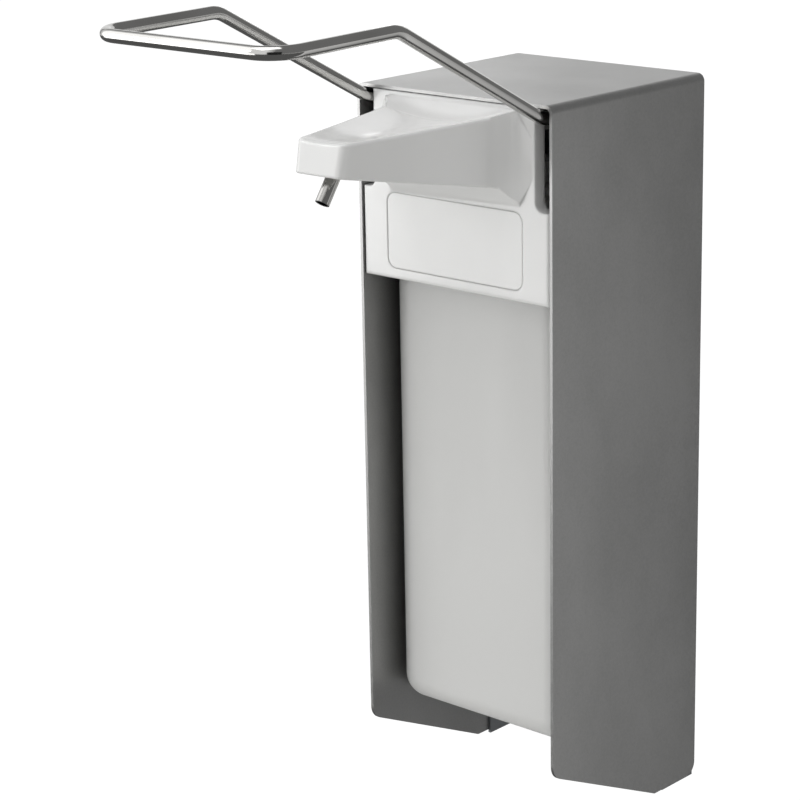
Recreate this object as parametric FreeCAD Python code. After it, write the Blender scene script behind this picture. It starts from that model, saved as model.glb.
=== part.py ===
import FreeCAD, Part
import math
import os
from FreeCAD import Vector

# Wall dispenser for liquid soap, worked by an elbow lever. Millimetres.
# +Z is up, the wall is the plane y = 0 and the front faces -Y.
# The origin is the centre of the four wall screws, on the wall face of the back plate.

# Housing: one folded sheet, open at the front and below
housing_width = 92.0
housing_depth = 90.0
front_height = 251.8
rear_drop = 29.0
slope_run = 63.5
sheet = 1.2
bend_radius = 3.0
front_corner_radius = 6.5
slope_corner_radius = 1.5
rear_corner_radius = 5.0
top_above_screws = 126.0

# Back plate and its wall screws
wall_screw_spacing_x = 56.0
wall_screw_spacing_z = 120.0
wall_screw_radius = 2.6
flange_depth = 20.0
flange_below_housing = 1.2
flange_below_pivot = 9.0
plate_above_bottom = 13.0
plate_corner_radius = 3.5

# Bottle, with the pump's axis through its neck
bottle_side_gap = 2.3
bottle_rear_gap = 9.0
bottle_front_inset = 11.0
bottle_base_drop = 245.8
bottle_corner_radius = 10.4
bottle_base_radius = 9.8
bottle_wall = 1.2
shoulder_below_neck = 30.5
shoulder_height = 14.0
shoulder_inset = 15.0
shoulder_steps = 3
neck_radius = 21.0
neck_wall = 2.0

# Shelf under the bottle
shelf_setback = 15.0
shelf_side_gap = 0.6
shelf_fold = 18.0
shelf_gap = 0.3
rivet_radius = 1.6
rivet_head_radius = 3.0
rivet_head_height = 1.0
rivet_offsets = (-30.0, -12.0, 12.0, 30.0)

# Lever: one bent rod
lever_rod_radius = 2.35
lever_side_gap = 1.45
lever_spread = 1.2
pivot_from_wall = 14.0
pivot_drop = 9.5
slot_bend_drop = 5.1
slot_bend_inset = 0.8
upper_bend_reach = 73.5
upper_bend_rise = 34.0
bar_reach = 129.6
bar_rise = 33.0
axle_bend_radius = 7.0
slot_bend_radius = 14.0
upper_bend_radius = 12.0
bar_corner_radius = 10.5
lever_travel = 22.0

# Rocker on the lever's two axle stubs
rocker_side_gap = 0.3
rocker_hub_radius = 5.5
stub_depth = 16.0
tongue_half_width = 7.0
tongue_below_pivot = 2.0
tongue_above_pivot = 5.1
tongue_past_pad = 1.5
pad_radius = 4.5
pad_half_length = 4.9
set_screw_radius = 1.6
set_screw_inset = 8.5

# Pump cylinder and its gland, from the plunger's head down
head_gap = 0.3
head_radius = 8.5
head_thickness = 4.0
head_socket_depth = 2.5
stroke_spare = 0.5
gland_height = 5.0
gland_radius = 9.4
gland_spigot = 3.5
gland_seal_radius = 5.2
gland_seal_height = 2.0
plunger_rod_radius = 3.0
piston_height = 6.0
piston_side_gap = 0.1
piston_groove = 2.2
piston_ring_depth = 1.5
running_gap = 0.08
stop_gap = 0.3
fit_gap = 0.05
cylinder_bore_radius = 7.0
cylinder_wall = 1.6
cylinder_above_deck = 3.2
pump_floor = 1.5

# Return spring under the piston
spring_wire_radius = 0.5
spring_side_gap = 1.1
spring_turns = 7
spring_packed_height = 13.4

# Deck, flange and bridge of the pump
deck_past_turret = 0.1
deck_thickness = 2.5
deck_gap = 0.3
flange_overhang = 0.5
flange_thickness = 3.5
gasket_thickness = 1.0
gasket_inset = 0.2
bridge_half_width = 14.0
bridge_end_gap = 1.5

# Outlet turret and its valve
outlet_radius = 2.6
outlet_wall = 0.7
outlet_seal_thickness = 1.15
outlet_seal_height = 1.6
turret_wall = 1.8
turret_side_gap = 0.65
turret_above_deck = 1.8
turret_depth = 17.6
valve_wall_gap = 0.5
outlet_port_radius = 1.2
outlet_port_rise = 3.0
outlet_end_gap = 6.5
ball_gap = 0.1
outlet_ball_radius = 2.2

# Inlet valve and its seat
inlet_ball_radius = 2.4
inlet_port_radius = 1.3
inlet_side_gap = 0.9
inlet_chamber_height = 5.5
inlet_boss_wall = 2.1
top_port_radius = 2.0
seat_plug_height = 5.5
seat_flange_height = 1.2
nipple_wall = 0.85
nipple_height = 9.0

# Suction tube and strainer
suction_tube_wall = 0.8
suction_end_gap = 9.0
strainer_wall = 1.2
strainer_height = 9.0
strainer_slots = 6
strainer_slot_width = 1.2

# Neck cap and the carrier's fork that holds it
cap_thread_gap = 0.3
cap_wall = 3.7
cap_groove_depth = 2.0
cap_shoulder = 7.2
cap_groove_height = 4.2
cap_lip = 1.5
cap_lip_gap = 0.5
cap_height = 17.0
fork_gap = 0.4
fork_thickness = 3.4
fork_past_pump = 22.0

# Carrier
carrier_side_gap = 4.65
carrier_plate = 2.5
carrier_top_gap = 2.0
ear_thickness = 3.0
ear_depth = 20.0
ear_above_pivot = 5.5
bush_wall = 1.35
bush_proud = 0.2
carrier_screw_inset = 8.0
carrier_screw_drops = (24.0, 42.0)
carrier_screw_radius = 1.9
carrier_screw_head_radius = 3.5
carrier_screw_head_height = 2.0

# Front cover
cover_side_gap = 0.5
cover_top_gap = 0.4
cover_recess = 0.3
cover_above_shoulder = 5.3
cover_plate = 2.2
cover_wall = 1.8
cover_return = 12.0
cover_edge_radius = 1.4
notch_side_gap = 0.65
notch_end_gap = 2.4
notch_radius = 3.4
notch_return = 3.4

# Nose of the cover
nose_tip_half = 11.3
nose_base_half = 26.3
nose_reach = 68.2
nose_tip_slant = 2.4
nose_top_drop = 7.6
nose_dish_radius = 115.0
nose_tip_height = 11.2
nose_base_height = 22.8
nose_foot_reach = 5.5
nose_foot_above_label = 2.2
nose_opening_height = 20.4
nose_tip_radius = 3.4
nose_rim_radius = 1.2
nose_low_radius = 0.8
flare_gap = 0.3
flare_top_out = 4.0
flare_top_drop = 3.4
flare_shoulder_drop = 14.3
flare_waist_drop = 25.0
flare_foot_half = 31.0

# Scoop behind the nose's flat top
scoop_ledge_drop = 3.2
scoop_half_reach = 7.9
scoop_depth = 5.5
scoop_end_depth = 0.3
scoop_end_out = 3.2

# Label place in the cover
label_width = 64.6
label_height = 28.8
label_above_edge = 4.2
label_radius = 4.0
label_recess = 0.8
label_thickness = 0.7
label_gap = 0.2

# Outlet tube
outlet_run_drop = 14.5
outlet_rise_bend = 9.0
outlet_elbow_reach = 57.7
outlet_elbow_bend = 7.0
spout_tilt = 35.0
spout_length = 17.4
spout_taper_length = 8.0
spout_tip_radius = 2.2

# Screws that hold the cover's rib on the pump's bridge
cover_screw_x = 9.0
cover_screw_from_turret = 19.4
cover_screw_radius = 1.4
cover_screw_head_radius = 2.8
cover_screw_head_height = 1.8
rib_half_width = 16.0
rib_thickness = 2.0
rib_to_turret = 5.0

# Housing and bottle places
top_z = top_above_screws
roof_z = top_z - sheet
front_y = -housing_depth
front_bottom_z = top_z - front_height
bottom_z = front_bottom_z - rear_drop
inner_half = housing_width / 2 - sheet
bottle_half = inner_half - bottle_side_gap
bottle_depth = housing_depth - bottle_front_inset - bottle_rear_gap
bottle_y = front_y + bottle_front_inset + bottle_depth / 2
bottle_base_z = top_z - bottle_base_drop

# Lever and pump places, each from the one above it
pivot_y = -pivot_from_wall
pivot_z = top_z - pivot_drop
lever_half_width = inner_half - lever_side_gap - lever_rod_radius
pump_arm = pivot_y - bottle_y
stroke = pump_arm * math.sin(math.radians(lever_travel))
head_top_z = pivot_z - pad_radius - head_gap
head_bottom_z = head_top_z - head_thickness
gland_top_z = head_bottom_z - stroke - stroke_spare
cylinder_top_z = gland_top_z - gland_height
piston_top_z = cylinder_top_z - gland_spigot - stop_gap
piston_bottom_z = piston_top_z - piston_height
spring_seat_z = piston_bottom_z - stroke - spring_packed_height
deck_top_z = cylinder_top_z - cylinder_above_deck
deck_bottom_z = deck_top_z - deck_thickness
cap_top_z = deck_bottom_z - deck_gap
flange_top_z = cap_top_z - cap_lip
flange_bottom_z = flange_top_z - flange_thickness
neck_top_z = flange_bottom_z - gasket_thickness
shoulder_z = neck_top_z - shoulder_below_neck

# Pump's radii and places
cylinder_radius = cylinder_bore_radius + cylinder_wall
neck_bore_radius = neck_radius - neck_wall
flange_radius = neck_radius - flange_overhang
cap_thread_radius = neck_radius + cap_thread_gap
cap_radius = cap_thread_radius + cap_wall
cap_groove_radius = cap_radius - cap_groove_depth
turret_y = bottle_y - gland_radius - outlet_radius - turret_side_gap
outlet_seal_radius = outlet_radius + outlet_seal_thickness
turret_radius = outlet_radius + turret_wall
turret_top_z = deck_top_z + turret_above_deck
deck_radius = bottle_y - turret_y + turret_radius + deck_past_turret
cap_lip_bore = deck_radius + cap_lip_gap
outlet_seat_z = turret_top_z - turret_depth
outlet_bore_radius = outlet_ball_radius + valve_wall_gap
chamber_top_z = spring_seat_z - pump_floor
inlet_seat_z = chamber_top_z - inlet_chamber_height
inlet_chamber_radius = inlet_ball_radius + inlet_side_gap
inlet_boss_radius = inlet_chamber_radius + inlet_boss_wall
seat_bottom_z = inlet_seat_z - seat_plug_height
nipple_radius = inlet_port_radius + nipple_wall
nipple_top_z = seat_bottom_z - seat_flange_height
suction_tube_bore = nipple_radius + fit_gap
suction_tube_radius = suction_tube_bore + suction_tube_wall
strainer_radius = suction_tube_radius + strainer_wall
suction_end_z = bottle_base_z + bottle_wall + suction_end_gap
cap_bottom_z = cap_top_z - cap_height
cap_groove_top_z = cap_top_z - cap_shoulder
piston_radius = cylinder_bore_radius - piston_side_gap
spring_radius = cylinder_bore_radius - spring_side_gap - spring_wire_radius

# Carrier and rocker places
carrier_half_width = lever_half_width - lever_rod_radius - carrier_side_gap
bush_radius = lever_rod_radius + bush_wall
rocker_half_width = carrier_half_width - ear_thickness - bush_proud - rocker_side_gap
carrier_screw_x = carrier_half_width - carrier_screw_inset
set_screw_from_middle = rocker_half_width - set_screw_inset

# Cover places
cover_face_y = front_y + cover_recess
cover_back_y = cover_face_y + cover_plate
cover_half = inner_half - cover_side_gap
cover_top_z = roof_z - cover_top_gap
cover_bottom_z = shoulder_z + cover_above_shoulder
bridge_end_y = cover_back_y + bridge_end_gap
notch_inner_x = lever_half_width - lever_rod_radius - notch_side_gap
slot_bend_back = pivot_y - front_y - slot_bend_inset
slot_bend_up = top_z - slot_bend_drop - pivot_z
travel = math.radians(lever_travel)
pressed_rod_z = pivot_z + slot_bend_up * math.cos(travel) - slot_bend_back * math.sin(travel)
notch_low_z = pressed_rod_z - lever_rod_radius - notch_end_gap
label_low_z = cover_bottom_z + label_above_edge
label_high_z = label_low_z + label_height
nose_top_z = top_z - nose_top_drop
nose_foot_z = label_high_z + nose_foot_above_label


def block(x0, x1, y0, y1, z0, z1):
    return Part.makeBox(x1 - x0, y1 - y0, z1 - z0, Vector(x0, y0, z0))


def bar(radius, start, end):
    along = end - start
    return Part.makeCylinder(radius, along.Length, start, along)


def upright(radius, y, low, high):
    return bar(radius, Vector(0, y, low), Vector(0, y, high))


def ring(outer, inner, y, low, high):
    return upright(outer, y, low, high).cut(upright(inner, y, low, high))


def face_of(points):
    return Part.Face(Part.makePolygon(points + [points[0]]))


def plan_prism(points, low, high):
    corners = [Vector(x, y, low) for x, y in points]
    return face_of(corners).extrude(Vector(0, 0, high - low))


def side_prism(points, left, right):
    corners = [Vector(left, y, z) for y, z in points]
    return face_of(corners).extrude(Vector(right - left, 0, 0))


def front_prism(points, front, back):
    corners = [Vector(x, front, z) for x, z in points]
    return face_of(corners).extrude(Vector(0, back - front, 0))


def rounded_wire(points, radii):
    """A closed wire through the points, with an arc of its own radius at each corner."""
    count = len(points)
    starts = []
    ends = []
    middles = []
    for index in range(count):
        corner = points[index]
        before = (points[index - 1] - corner).normalize()
        after = (points[(index + 1) % count] - corner).normalize()
        radius = radii[index]
        half = before.getAngle(after) / 2
        run = radius / math.tan(half)
        starts.append(corner + before * run)
        ends.append(corner + after * run)
        middle = (before + after).normalize()
        middles.append(corner + middle * (radius / math.sin(half) - radius))
    edges = []
    for index in range(count):
        following = (index + 1) % count
        if radii[index] > 0:
            edges.append(Part.Arc(starts[index], middles[index], ends[index]).toShape())
        if (starts[following] - ends[index]).Length > 1e-6:
            edges.append(Part.LineSegment(ends[index], starts[following]).toShape())
    return Part.Wire(edges)


def rounded_rectangle(half_x, half_y, radius, y, z):
    corners = [
        Vector(-half_x, y - half_y, z),
        Vector(half_x, y - half_y, z),
        Vector(half_x, y + half_y, z),
        Vector(-half_x, y + half_y, z),
    ]
    return rounded_wire(corners, [radius] * 4)


def bent_path(points, radii):
    """An open wire of straight runs joined by tangent arcs at the inner points."""
    edges = []
    here = points[0]
    for index in range(1, len(points) - 1):
        corner = points[index]
        before = (points[index - 1] - corner).normalize()
        after = (points[index + 1] - corner).normalize()
        radius = radii[index - 1]
        half = before.getAngle(after) / 2
        run = radius / math.tan(half)
        middle = (before + after).normalize()
        start = corner + before * run
        end = corner + after * run
        through = corner + middle * (radius / math.sin(half) - radius)
        edges.append(Part.LineSegment(here, start).toShape())
        edges.append(Part.Arc(start, through, end).toShape())
        here = end
    edges.append(Part.LineSegment(here, points[-1]).toShape())
    return Part.Wire(edges)


def swept_round(path, start, direction, radius):
    section = Part.Wire(Part.makeCircle(radius, start, direction))
    return path.makePipeShell([section], True, False)


def mirrored(shape):
    return shape.mirror(Vector(0, 0, 0), Vector(1, 0, 0))


def both_sides(shape):
    return shape.fuse(mirrored(shape))


def make_housing_shell():
    """The folded sheet: two side panels and the roof, cut to one slanting outline below."""
    half = housing_width / 2
    outer = rounded_wire(
        [
            Vector(-half, front_y, bottom_z),
            Vector(half, front_y, bottom_z),
            Vector(half, front_y, top_z),
            Vector(-half, front_y, top_z),
        ],
        [0, 0, bend_radius, bend_radius],
    )
    inner = rounded_wire(
        [
            Vector(-inner_half, front_y, bottom_z - sheet),
            Vector(inner_half, front_y, bottom_z - sheet),
            Vector(inner_half, front_y, roof_z),
            Vector(-inner_half, front_y, roof_z),
        ],
        [0, 0, bend_radius - sheet, bend_radius - sheet],
    )
    along = Vector(0, housing_depth, 0)
    folded = Part.Face(outer).extrude(along).cut(Part.Face(inner).extrude(along))
    outline = rounded_wire(
        [
            Vector(-housing_width, front_y, front_bottom_z),
            Vector(-housing_width, front_y + slope_run, bottom_z),
            Vector(-housing_width, 0, bottom_z),
            Vector(-housing_width, 0, top_z + sheet),
            Vector(-housing_width, front_y, top_z + sheet),
        ],
        [front_corner_radius, slope_corner_radius, rear_corner_radius, 0, 0],
    )
    return folded.common(Part.Face(outline).extrude(Vector(2 * housing_width, 0, 0)))


def wall_screw_holes():
    holes = []
    for side in (-1, 1):
        for level in (-1, 1):
            x = side * wall_screw_spacing_x / 2
            z = level * wall_screw_spacing_z / 2
            holes.append(bar(wall_screw_radius, Vector(x, -2 * sheet, z), Vector(x, sheet, z)))
    return holes


def shelf_rivet_places():
    middle = bottle_base_z - shelf_gap - shelf_fold / 2
    return [Vector(x, 0, middle) for x in rivet_offsets]


def carrier_screw_places():
    places = []
    for side in (-1, 1):
        for drop in carrier_screw_drops:
            places.append(Vector(side * carrier_screw_x, 0, top_z - drop))
    return places


def make_back_plate():
    """A flat plate between the side panels, with a flange folded forward along each side."""
    low = bottom_z - flange_below_housing
    plate_low = bottom_z + plate_above_bottom
    plate_wire = rounded_wire(
        [
            Vector(-inner_half, -sheet, plate_low),
            Vector(inner_half, -sheet, plate_low),
            Vector(inner_half, -sheet, roof_z),
            Vector(-inner_half, -sheet, roof_z),
        ],
        [0, 0, plate_corner_radius, plate_corner_radius],
    )
    plate = Part.Face(plate_wire).extrude(Vector(0, sheet, 0))
    flange_high = pivot_z - flange_below_pivot
    flange = block(inner_half - sheet, inner_half, -flange_depth, 0, low, flange_high)
    plate = plate.fuse([flange, mirrored(flange)]).removeSplitter()
    cuts = wall_screw_holes()
    for place in shelf_rivet_places():
        behind = place + Vector(0, sheet, 0)
        cuts.append(bar(rivet_radius + fit_gap, place + Vector(0, -2 * sheet, 0), behind))
    for place in carrier_screw_places():
        behind = place + Vector(0, sheet, 0)
        cuts.append(bar(carrier_screw_radius + fit_gap, place + Vector(0, -2 * sheet, 0), behind))
    return plate.cut(cuts)


def make_bottle_shelf():
    """A sheet that carries the bottle, folded down at the back against the back plate."""
    half = inner_half - sheet - shelf_side_gap
    shelf_top = bottle_base_z - shelf_gap
    front = front_y + bottle_front_inset + shelf_setback
    shelf = block(-half, half, front, -sheet, shelf_top - sheet, shelf_top)
    fold = block(-half, half, -2 * sheet, -sheet, shelf_top - shelf_fold, shelf_top)
    shelf = shelf.fuse(fold).removeSplitter()
    cuts = []
    for place in shelf_rivet_places():
        cuts.append(bar(rivet_radius + fit_gap, place + Vector(0, -3 * sheet, 0), place))
    return shelf.cut(cuts)


def make_shelf_rivets():
    rivets = []
    for place in shelf_rivet_places():
        shank = bar(rivet_radius, place + Vector(0, -2 * sheet, 0), place)
        head_back = place + Vector(0, -2 * sheet, 0)
        head = bar(rivet_head_radius, head_back + Vector(0, -rivet_head_height, 0), head_back)
        rivets.append(shank.fuse(head).removeSplitter())
    return Part.makeCompound(rivets)


def make_pump_carrier():
    """The moulded bracket: a plate on the back plate, two ears for the lever and a fork."""
    plate_front = -sheet - carrier_plate
    fork_top = cap_groove_top_z - fork_gap
    fork_bottom = fork_top - fork_thickness
    half = carrier_half_width
    plate = block(-half, half, plate_front, -sheet, fork_bottom, roof_z - carrier_top_gap)
    ear_top = pivot_z + ear_above_pivot
    ear = block(half - ear_thickness, half, -ear_depth, plate_front, fork_bottom, ear_top)
    fork = block(-half, half, bottle_y - fork_past_pump, plate_front, fork_bottom, fork_top)
    slot_radius = cap_groove_radius + fork_gap
    slot = upright(slot_radius, bottle_y, fork_bottom, fork_top)
    mouth = block(
        -slot_radius, slot_radius, bottle_y - 2 * fork_past_pump, bottle_y, fork_bottom, fork_top
    )
    fork = fork.cut([slot, mouth])
    carrier = plate.fuse([ear, mirrored(ear), fork]).removeSplitter()
    cuts = []
    for side in (-1, 1):
        outside = Vector(side * (half + ear_thickness), pivot_y, pivot_z)
        inside = Vector(side * (half - 2 * ear_thickness), pivot_y, pivot_z)
        cuts.append(bar(bush_radius + fit_gap, outside, inside))
    for place in carrier_screw_places():
        cuts.append(
            bar(
                carrier_screw_radius + fit_gap,
                place + Vector(0, plate_front - sheet, 0),
                place,
            )
        )
    return carrier.cut(cuts)


def make_carrier_screws():
    screws = []
    seat = -sheet - carrier_plate
    for place in carrier_screw_places():
        shank = bar(carrier_screw_radius, place + Vector(0, seat, 0), place)
        head = bar(
            carrier_screw_head_radius,
            place + Vector(0, seat - carrier_screw_head_height, 0),
            place + Vector(0, seat, 0),
        )
        screws.append(shank.fuse(head).removeSplitter())
    return Part.makeCompound(screws)


def make_pivot_bushes():
    low = carrier_half_width - ear_thickness - bush_proud
    high = carrier_half_width + bush_proud
    start = Vector(low, pivot_y, pivot_z)
    end = Vector(high, pivot_y, pivot_z)
    bush = bar(bush_radius, start, end).cut(bar(lever_rod_radius + running_gap, start, end))
    return Part.makeCompound([bush, mirrored(bush)])


def lever_points():
    """Corner points of the right half of the lever, from its axle stub to the front bar."""
    side = lever_half_width
    part_way = (upper_bend_reach + slot_bend_inset) / (bar_reach + slot_bend_inset)
    return [
        Vector(rocker_half_width - stub_depth, pivot_y, pivot_z),
        Vector(side, pivot_y, pivot_z),
        Vector(side, front_y + slot_bend_inset, top_z - slot_bend_drop),
        Vector(side + lever_spread * part_way, front_y - upper_bend_reach, top_z + upper_bend_rise),
        Vector(side + lever_spread, front_y - bar_reach, top_z + bar_rise),
    ]


def make_lever_rod():
    right = lever_points()
    left = [Vector(-point.x, point.y, point.z) for point in reversed(right)]
    radii = [axle_bend_radius, slot_bend_radius, upper_bend_radius, bar_corner_radius]
    path = bent_path(right + left, radii + list(reversed(radii)))
    return swept_round(path, right[0], Vector(1, 0, 0), lever_rod_radius)


def set_screw_ends(side):
    x = side * set_screw_from_middle
    inner = Vector(x, pivot_y + lever_rod_radius + fit_gap, pivot_z)
    outer = Vector(x, pivot_y + rocker_hub_radius, pivot_z)
    return inner, outer


def make_lever_rocker():
    """The hub on the two axle stubs, with a tongue that reaches over the pump."""
    half = rocker_half_width
    hub = bar(rocker_hub_radius, Vector(-half, pivot_y, pivot_z), Vector(half, pivot_y, pivot_z))
    tongue = block(
        -tongue_half_width,
        tongue_half_width,
        bottle_y - pad_radius - tongue_past_pad,
        pivot_y,
        pivot_z - tongue_below_pivot,
        pivot_z + tongue_above_pivot,
    )
    rocker = hub.fuse(tongue).removeSplitter()
    cuts = []
    pad_reach = pad_half_length + fit_gap
    cuts.append(
        bar(pad_radius + fit_gap, Vector(-pad_reach, bottle_y, pivot_z), Vector(pad_reach, bottle_y, pivot_z))
    )
    for side in (-1, 1):
        open_end = Vector(side * (half + sheet), pivot_y, pivot_z)
        blind_end = Vector(side * (half - stub_depth - fit_gap), pivot_y, pivot_z)
        cuts.append(bar(lever_rod_radius + fit_gap, open_end, blind_end))
        inner, outer = set_screw_ends(side)
        start = inner + Vector(0, -lever_rod_radius, 0)
        cuts.append(bar(set_screw_radius + fit_gap, start, outer + Vector(0, sheet, 0)))
    return rocker.cut(cuts)


def make_rocker_set_screws():
    return Part.makeCompound([bar(set_screw_radius, *set_screw_ends(side)) for side in (-1, 1)])


def make_press_pad():
    reach = pad_half_length
    return bar(pad_radius, Vector(-reach, bottle_y, pivot_z), Vector(reach, bottle_y, pivot_z))


def nose_outline(inset, z):
    """The nose seen from above, from the cover's face past the tip, drawn in by the inset."""
    base = nose_base_half - inset
    slope = (nose_base_half - nose_tip_half) / nose_reach
    past_tip = nose_reach + 2 * nose_tip_slant
    tip_half = base - slope * past_tip
    half_turn = math.pi / 4 - math.atan(slope) / 2
    flare = (notch_inner_x - flare_gap - nose_base_half) / math.tan(half_turn) + inset
    wide = base + 2 * flare * math.tan(half_turn)
    back_y = cover_back_y + cover_wall
    face_y = cover_face_y + inset
    points = [
        Vector(-wide, back_y, z),
        Vector(-wide, face_y, z),
        Vector(-base, face_y, z),
        Vector(-tip_half, face_y - past_tip, z),
        Vector(tip_half, face_y - past_tip, z),
        Vector(base, face_y, z),
        Vector(wide, face_y, z),
        Vector(wide, back_y, z),
    ]
    return rounded_wire(points, [0, 0, flare, 0, 0, flare, 0, 0])


def nose_column(inset):
    """The nose before its top is shaped, outer for no inset, or inside the wall for its inset."""
    crown_z = nose_top_z + nose_base_half
    column = Part.Face(nose_outline(inset, cover_bottom_z)).extrude(Vector(0, 0, crown_z - cover_bottom_z))
    face = cover_face_y + inset
    tip_top = face - nose_reach
    slant = nose_tip_slant / nose_tip_height
    tip_low_z = nose_top_z - nose_tip_height - 2 * inset
    foot_y = face - nose_foot_reach
    back = cover_back_y + cover_wall
    profile = [
        (back, crown_z),
        (tip_top + slant * (crown_z - nose_top_z), crown_z),
        (tip_top - slant * (nose_top_z - tip_low_z), tip_low_z),
        (foot_y, nose_top_z - nose_base_height - 2 * inset),
        (face, nose_foot_z + 2 * inset),
        (back, nose_foot_z + 2 * inset),
    ]
    half = housing_width / 2
    body = column.common(side_prism(profile, -half, half))
    corners = []
    for edge in body.Edges:
        middle = edge.CenterOfMass
        upright_edge = edge.BoundBox.ZLength > nose_tip_height
        if upright_edge and middle.y < tip_top + nose_tip_slant and abs(middle.x) > nose_tip_radius / 2:
            corners.append(edge)
    return body.makeFillet(nose_tip_radius - inset, corners)


def dish_cutter(inset):
    """What lies above the nose's dished top, which is lowest along its middle."""
    half = housing_width / 2
    low_z = nose_top_z - inset
    front = front_y - 2 * nose_reach
    back = cover_back_y + cover_wall
    axis_z = low_z + nose_dish_radius
    dish = bar(nose_dish_radius, Vector(0, front, axis_z), Vector(0, back, axis_z))
    return dish.common(block(-half, half, front, back, low_z - sheet, nose_top_z + nose_base_half + sheet))


def nose_shoulder(column, inset):
    """The column's part at the cover's face, up to the ledge under which the hollow is scooped."""
    half = housing_width / 2
    front = cover_face_y - scoop_half_reach
    low_z = nose_top_z - nose_tip_height
    return column.common(
        block(-half, half, front, cover_back_y + cover_wall, low_z, top_z - scoop_ledge_drop - inset)
    )


def nose_rims(body):
    """Edges along the nose's dished top, and those along its underside."""
    axis_z = nose_top_z + nose_dish_radius
    under_slope = (nose_base_height - nose_tip_height) / (nose_reach + nose_tip_slant - nose_foot_reach)
    top_rims = []
    low_rims = []
    for edge in body.Edges:
        middle = edge.valueAt((edge.FirstParameter + edge.LastParameter) / 2)
        top = axis_z - math.sqrt(nose_dish_radius**2 - middle.x**2)
        from_foot = cover_face_y - nose_foot_reach - middle.y
        low = nose_top_z - nose_base_height + under_slope * from_foot
        if middle.y < cover_face_y - fit_gap and abs(middle.z - top) < fit_gap:
            top_rims.append(edge)
        if from_foot > fit_gap and abs(middle.z - low) < fit_gap:
            low_rims.append(edge)
    return top_rims, low_rims


def flare_trims():
    """Wedges that take off the flare's upper and lower outer corners."""
    outer = notch_inner_x
    top_half = nose_base_half + flare_top_out
    front = front_y - nose_reach
    upper = front_prism(
        [
            (top_half, top_z - flare_top_drop),
            (outer, top_z - flare_shoulder_drop),
            (housing_width, top_z - flare_shoulder_drop),
            (housing_width, top_z + sheet),
            (top_half, top_z + sheet),
        ],
        front,
        cover_face_y,
    )
    lower = front_prism(
        [
            (outer, top_z - flare_waist_drop),
            (flare_foot_half, nose_foot_z),
            (flare_foot_half, cover_bottom_z),
            (housing_width, cover_bottom_z),
            (housing_width, top_z - flare_waist_drop),
        ],
        front,
        cover_face_y,
    )
    beyond = block(notch_inner_x, housing_width, front, cover_face_y, cover_bottom_z, top_z + sheet)
    return [upper, mirrored(upper), lower, mirrored(lower), beyond, mirrored(beyond)]


def scoop_section(x, inset):
    """The scooped hollow cut across at x: an arc below the ledge, closed by a level line."""
    share = x / (nose_base_half + scoop_end_out)
    depth = scoop_end_depth + (scoop_depth - scoop_end_depth) * (1 - share**2) + inset
    ledge_z = top_z - scoop_ledge_drop
    low_y = cover_face_y - scoop_half_reach
    back = Vector(x, cover_face_y + inset, ledge_z)
    front = Vector(x, low_y - scoop_half_reach - inset, ledge_z)
    arc = Part.Arc(back, Vector(x, low_y, ledge_z - depth), front).toShape()
    return Part.Wire([arc, Part.makeLine(front, back)])


def scoop_cutter(inset):
    """The hollow between the nose's crease and the cover's face, which fades out at its two ends."""
    end = nose_base_half + scoop_end_out
    places = [-end, -end / 2, 0, end / 2, end]
    return Part.makeLoft([scoop_section(x, inset) for x in places], True)


def label_outline(grow, y):
    half = label_width / 2 + grow
    high = label_high_z + grow
    low = label_low_z - grow
    return rounded_wire(
        [Vector(-half, y, low), Vector(half, y, low), Vector(half, y, high), Vector(-half, y, high)],
        [label_radius + grow] * 4,
    )


def make_cover_plate():
    """The flat front of the cover with softened edges."""
    half = cover_half
    plate = block(-half, half, cover_face_y, cover_back_y, cover_bottom_z, cover_top_z)
    rounded = []
    for edge in plate.Edges:
        middle = edge.CenterOfMass
        on_face = abs(middle.y - cover_face_y) < fit_gap
        if on_face and middle.z < cover_top_z - fit_gap:
            rounded.append(edge)
    return plate.makeFillet(cover_edge_radius, rounded)


def front_notch_cutter(inner_x, low, front, back):
    outer_x = housing_width / 2
    outline = rounded_wire(
        [
            Vector(inner_x, front, low),
            Vector(outer_x, front, low),
            Vector(outer_x, front, top_z),
            Vector(inner_x, front, top_z),
        ],
        [notch_radius, 0, 0, 0],
    )
    return Part.Face(outline).extrude(Vector(0, back - front, 0))


def make_cover_returns():
    """Walls behind the plate: round each notch, down each side and under the roof."""
    back = cover_back_y + cover_return
    notch_back = cover_back_y + notch_return
    notch_low = notch_low_z
    outer = front_notch_cutter(notch_inner_x - cover_wall, notch_low - cover_wall, cover_back_y, notch_back)
    limit = block(0, cover_half, cover_back_y, notch_back, cover_bottom_z, cover_top_z)
    inner = front_notch_cutter(notch_inner_x, notch_low, cover_back_y, notch_back)
    around_notch = outer.common(limit).cut(inner)
    side = block(
        cover_half - cover_wall, cover_half, cover_back_y, back, cover_bottom_z, notch_low - cover_wall
    )
    roof_half = notch_inner_x - cover_wall
    roof = block(-roof_half, roof_half, cover_back_y, back, cover_top_z - cover_wall, cover_top_z)
    return [around_notch, mirrored(around_notch), side, mirrored(side), roof]


def make_cover_rib():
    low = deck_top_z
    rib_back = turret_y - turret_radius - rib_to_turret
    return block(-rib_half_width, rib_half_width, cover_back_y, rib_back, low, low + rib_thickness)


def cover_screw_places():
    y = turret_y - cover_screw_from_turret
    return [Vector(-cover_screw_x, y, deck_top_z), Vector(cover_screw_x, y, deck_top_z)]


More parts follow.
